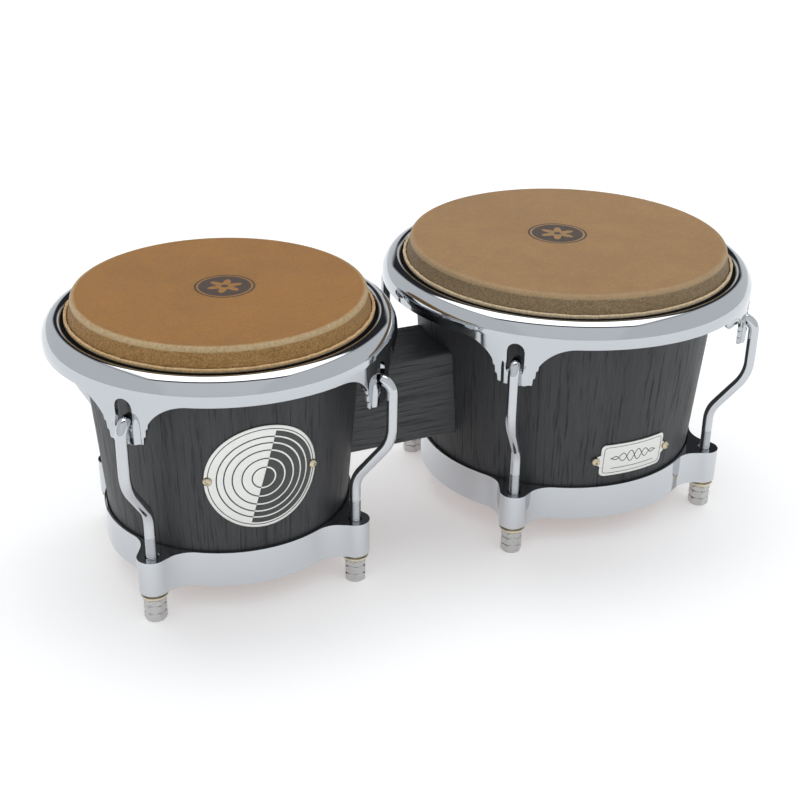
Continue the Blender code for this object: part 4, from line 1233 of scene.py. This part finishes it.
def oblong_badge():
    """Silver name plate with an engraved border and a plain woven line. It carries no lettering."""
    low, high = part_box("oblong_badge")
    half_height = (high.z - low.z) / 2
    half_width, corner, tab = 25.0 * MM, 3.5 * MM, 4.3 * MM
    outline = oblong_outline(half_width, half_height, corner, tab)
    inset = 2.2 * MM
    wide, tall = half_width - inset, half_height - inset
    border = softened([(wide, tall), (-wide, tall), (-wide, -tall), (wide, -tall)], 3 * MM, 6, closed=True)
    path = divided(border, 1.5 * MM)
    loop = np.vstack([path[-2:], path, path[:2]])
    inlays = [(line_strip(loop, 0.35 * MM)[2:-2], True)]
    x = np.linspace(-18 * MM, 18 * MM, 90)
    swell = np.cos(x / (18 * MM) * math.pi / 2)
    for side in (-1, 1):
        wave = side * 4.2 * MM * swell * np.sin(x / (18 * MM) * 3 * math.pi)
        inlays.append((line_strip(np.stack([x, wave + 1.2 * MM], -1), 0.55 * MM), False))
    x = np.linspace(-17 * MM, 17 * MM, 30)
    inlays.append((line_strip(np.stack([x, np.full(30, -6.6 * MM)], -1), 0.4 * MM), False))
    screws = ["oblong_badge_screw_1", "oblong_badge_screw_2"]
    bent_badge(HEMBRA, "oblong_badge_plate", outline, "oblong_badge", inlays, screws)


def block_fixing(drum):
    """Curved backing plate inside the shell and the two domed bolts that pull the block against it."""
    node = f"{drum.name}_backing_plate"
    low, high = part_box(node)
    height = (low.z + high.z) / 2
    tall, wide, thick = (high.z - low.z) / 2, 17.0 * MM, 2.5 * MM
    outline = softened([(wide, -tall), (wide, tall), (-wide, tall), (-wide, -tall)], 5 * MM, 6, closed=True)
    rows, outs = plate_shape(outline, 6, thick, 0.5 * MM)
    inner = -(SHELL_WALL + 2 * GAP + thick)
    grid = []
    for row, out in zip(rows, outs):
        grid.append(on_cone(drum, row[:, 0], height + row[:, 1], drum.block_angle, inner + out))
    name = f"{drum.name}_backing_steel"
    mesh = grid_mesh(name, np.array(grid), False, True)
    piece(name, mesh, [PLAIN_STEEL], "root", [node], drum.centre)
    for number in (1, 2):
        node = f"{drum.name}_block_bolt_{number}"
        low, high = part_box(node)
        long = high.x - low.x - BOLT_DOME
        dome = [(0, -3.6), (1.6, -3.5), (3.2, -3.1), (4.6, -2.3), (5.5, -1.2), (6.0, -0.3), (5.8, 0)]
        shank = [(3.0 * MM, 0), (3.0 * MM, long - 0.8 * MM), (2.3 * MM, long), (0, long)]
        profile = [(r * MM, z * MM) for r, z in dome] + shank
        name = f"{drum.name}_bolt_{number}_steel"
        facing = 1 if drum.block_angle == 0 else -1
        seat_x = low.x + BOLT_DOME if facing == 1 else high.x - BOLT_DOME
        seat = Vector((seat_x, 0, (low.z + high.z) / 2))
        turn = Vector((facing, 0, 0)).to_track_quat("Z", "Y").to_euler()
        mesh = turned_mesh(name, profile, 40, closed=False)
        piece(name, mesh, [PLAIN_STEEL], "root", [node], seat, turn)


# ---------------------------------------------------------------- studio


# Away from the camera, level with the floor.
FORWARD = (0.419, 0.908)
# Degrees up from the horizon behind the camera, over the top and down to the horizon at the back.
SKY = (
    (0, (0.80, 0.82, 0.84)),
    (76, (0.82, 0.84, 0.86)),
    (79, (0.03, 0.03, 0.033)),
    (88, (0.03, 0.03, 0.033)),
    (159, (0.03, 0.03, 0.033)),
    (164, (0.70, 0.72, 0.74)),
    (180, (0.80, 0.82, 0.84)),
)
SIDE_SKY = (0.74, 0.76, 0.78)
DARK_SIDE = 0.5
SOFTBOX = ((87, 0.0), (89, 1.0), (126, 1.0), (130, 0.0))
SOFTBOX_SIDE = 0.45
SOFTBOX_RADIANCE = 2.6


def sky_shade(tree):
    """Radiance of the studio by direction: a pale front, a soft box over and behind, a dark back."""
    nodes = Nodes(tree)
    coords = nodes.node("ShaderNodeTexCoord").outputs["Generated"]

    def part(axis):
        made = nodes.node("ShaderNodeVectorMath", operation="DOT_PRODUCT", _0=coords, _1=axis)
        return made.outputs["Value"]

    arch = nodes.math("ARCTAN2", part((0, 0, 1)), part((-FORWARD[0], -FORWARD[1], 0)))
    arch = nodes.math("DIVIDE", arch, math.pi)
    aside = nodes.math("ABSOLUTE", part((FORWARD[1], -FORWARD[0], 0)))
    dark = nodes.ramp(arch, *[(degrees / 180, colour) for degrees, colour in SKY])
    beside = nodes.ramp(aside, (DARK_SIDE - 0.08, 0.0), (DARK_SIDE, 1.0))
    plain = nodes.mix(beside, dark, SIDE_SKY)
    box = nodes.ramp(arch, *[(degrees / 180, grey) for degrees, grey in SOFTBOX])
    fade = nodes.ramp(aside, (SOFTBOX_SIDE - 0.06, 1.0), (SOFTBOX_SIDE, 0.0))
    box = nodes.math("MULTIPLY", nodes.math("MULTIPLY", box, fade), SOFTBOX_RADIANCE)
    return nodes.mix(1.0, plain, box, "ADD")


def studio():
    """Pale paper floor under a studio sky. The camera itself sees plain white beyond the floor."""
    bm = bmesh.new()
    bmesh.ops.create_grid(bm, x_segments=8, y_segments=8, size=6.0)
    mesh = bpy.data.meshes.new("floor")
    bm.to_mesh(mesh)
    bm.free()
    floor = bpy.data.objects.new("floor", mesh)
    bpy.context.scene.collection.objects.link(floor)
    paper = Finish("floor_paper", Roughness=0.9, Specular_IOR_Level=0.0, Emission_Strength=0.36)
    paper.shader.inputs["Base Color"].default_value = (0.78, 0.83, 0.84, 1)
    paper.shader.inputs["Emission Color"].default_value = (1.0, 0.9, 0.88, 1)
    mesh.materials.append(paper.material)
    world = bpy.data.worlds.new("studio")
    bpy.context.scene.world = world
    world.use_nodes = True
    tree = world.node_tree
    lit = tree.nodes["Background"]
    tree.links.new(sky_shade(tree), lit.inputs["Color"])
    white = tree.nodes.new("ShaderNodeBackground")
    white.inputs["Color"].default_value = (0.98, 0.985, 0.99, 1)
    seen = tree.nodes.new("ShaderNodeMixShader")
    tree.links.new(tree.nodes.new("ShaderNodeLightPath").outputs["Is Camera Ray"], seen.inputs[0])
    tree.links.new(lit.outputs[0], seen.inputs[1])
    tree.links.new(white.outputs[0], seen.inputs[2])
    tree.links.new(seen.outputs[0], tree.nodes["World Output"].inputs["Surface"])


# Where the camera stands, and its heading, tilt down and roll in degrees.
CAMERA_SPOT = (-0.36615, -0.7758, 0.5113)
CAMERA_TURN = (-24.75, 26.46, 0.99)


def camera():
    data = bpy.data.cameras.new("camera")
    data.lens = 62.31
    data.sensor_width = 36.0
    obj = bpy.data.objects.new("camera", data)
    bpy.context.scene.collection.objects.link(obj)
    heading, down, roll = CAMERA_TURN
    turn = Matrix.Rotation(math.radians(heading), 4, "Z") @ Matrix.Rotation(math.radians(90 - down), 4, "X")
    turn = turn @ Matrix.Rotation(math.radians(roll), 4, "Z")
    obj.matrix_world = Matrix.Translation(CAMERA_SPOT) @ turn
    bpy.context.scene.camera = obj


def build():
    macho_skin = rawhide_finish(
        "macho_rawhide",
        ((0.328, 0.153, 0.036), (0.52, 0.42, 0.25), (0.19, 0.1, 0.03), (0.44, 0.255, 0.095)),
        True,
        (MACHO.axis_x + 3.1 * MM, 0.3 * MM),
        19.1 * MM,
    )
    hembra_skin = rawhide_finish(
        "hembra_rawhide",
        ((0.344, 0.197, 0.08), (0.5, 0.42, 0.28), (0.15, 0.1, 0.05), (0.31, 0.225, 0.13)),
        False,
        (HEMBRA.axis_x - 3.5 * MM, 7.75 * MM),
        20.5 * MM,
    )
    # The last colour of each trim is the dark brown of its painted crevice shade.
    macho_trim = trimmed_edge_finish("macho_trim", (0.66, 0.45, 0.24), (0.42, 0.28, 0.14), (0.2, 0.165, 0.12))
    hembra_trim = trimmed_edge_finish("hembra_trim", (0.7, 0.55, 0.36), (0.46, 0.36, 0.23), (0.24, 0.2, 0.15))
    for drum, skin, trim, seed, ridge in (
        (MACHO, macho_skin, macho_trim, 11, 0.3 * MM),
        (HEMBRA, hembra_skin, hembra_trim, 47, 0.05 * MM),
    ):
        shell(drum, seed)
        head_skin(drum, skin, seed + 100, ridge)
        tucked_edge(drum, trim, seed + 200)
        tuning_rim(drum)
        tuning_lugs(drum)
        nuts_and_washers(drum)
        bottom_ring(drum)
        block_fixing(drum)
    centre_block()
    round_badge()
    oblong_badge()
    studio()
    camera()
    bpy.context.scene.view_settings.view_transform = "Standard"


build()
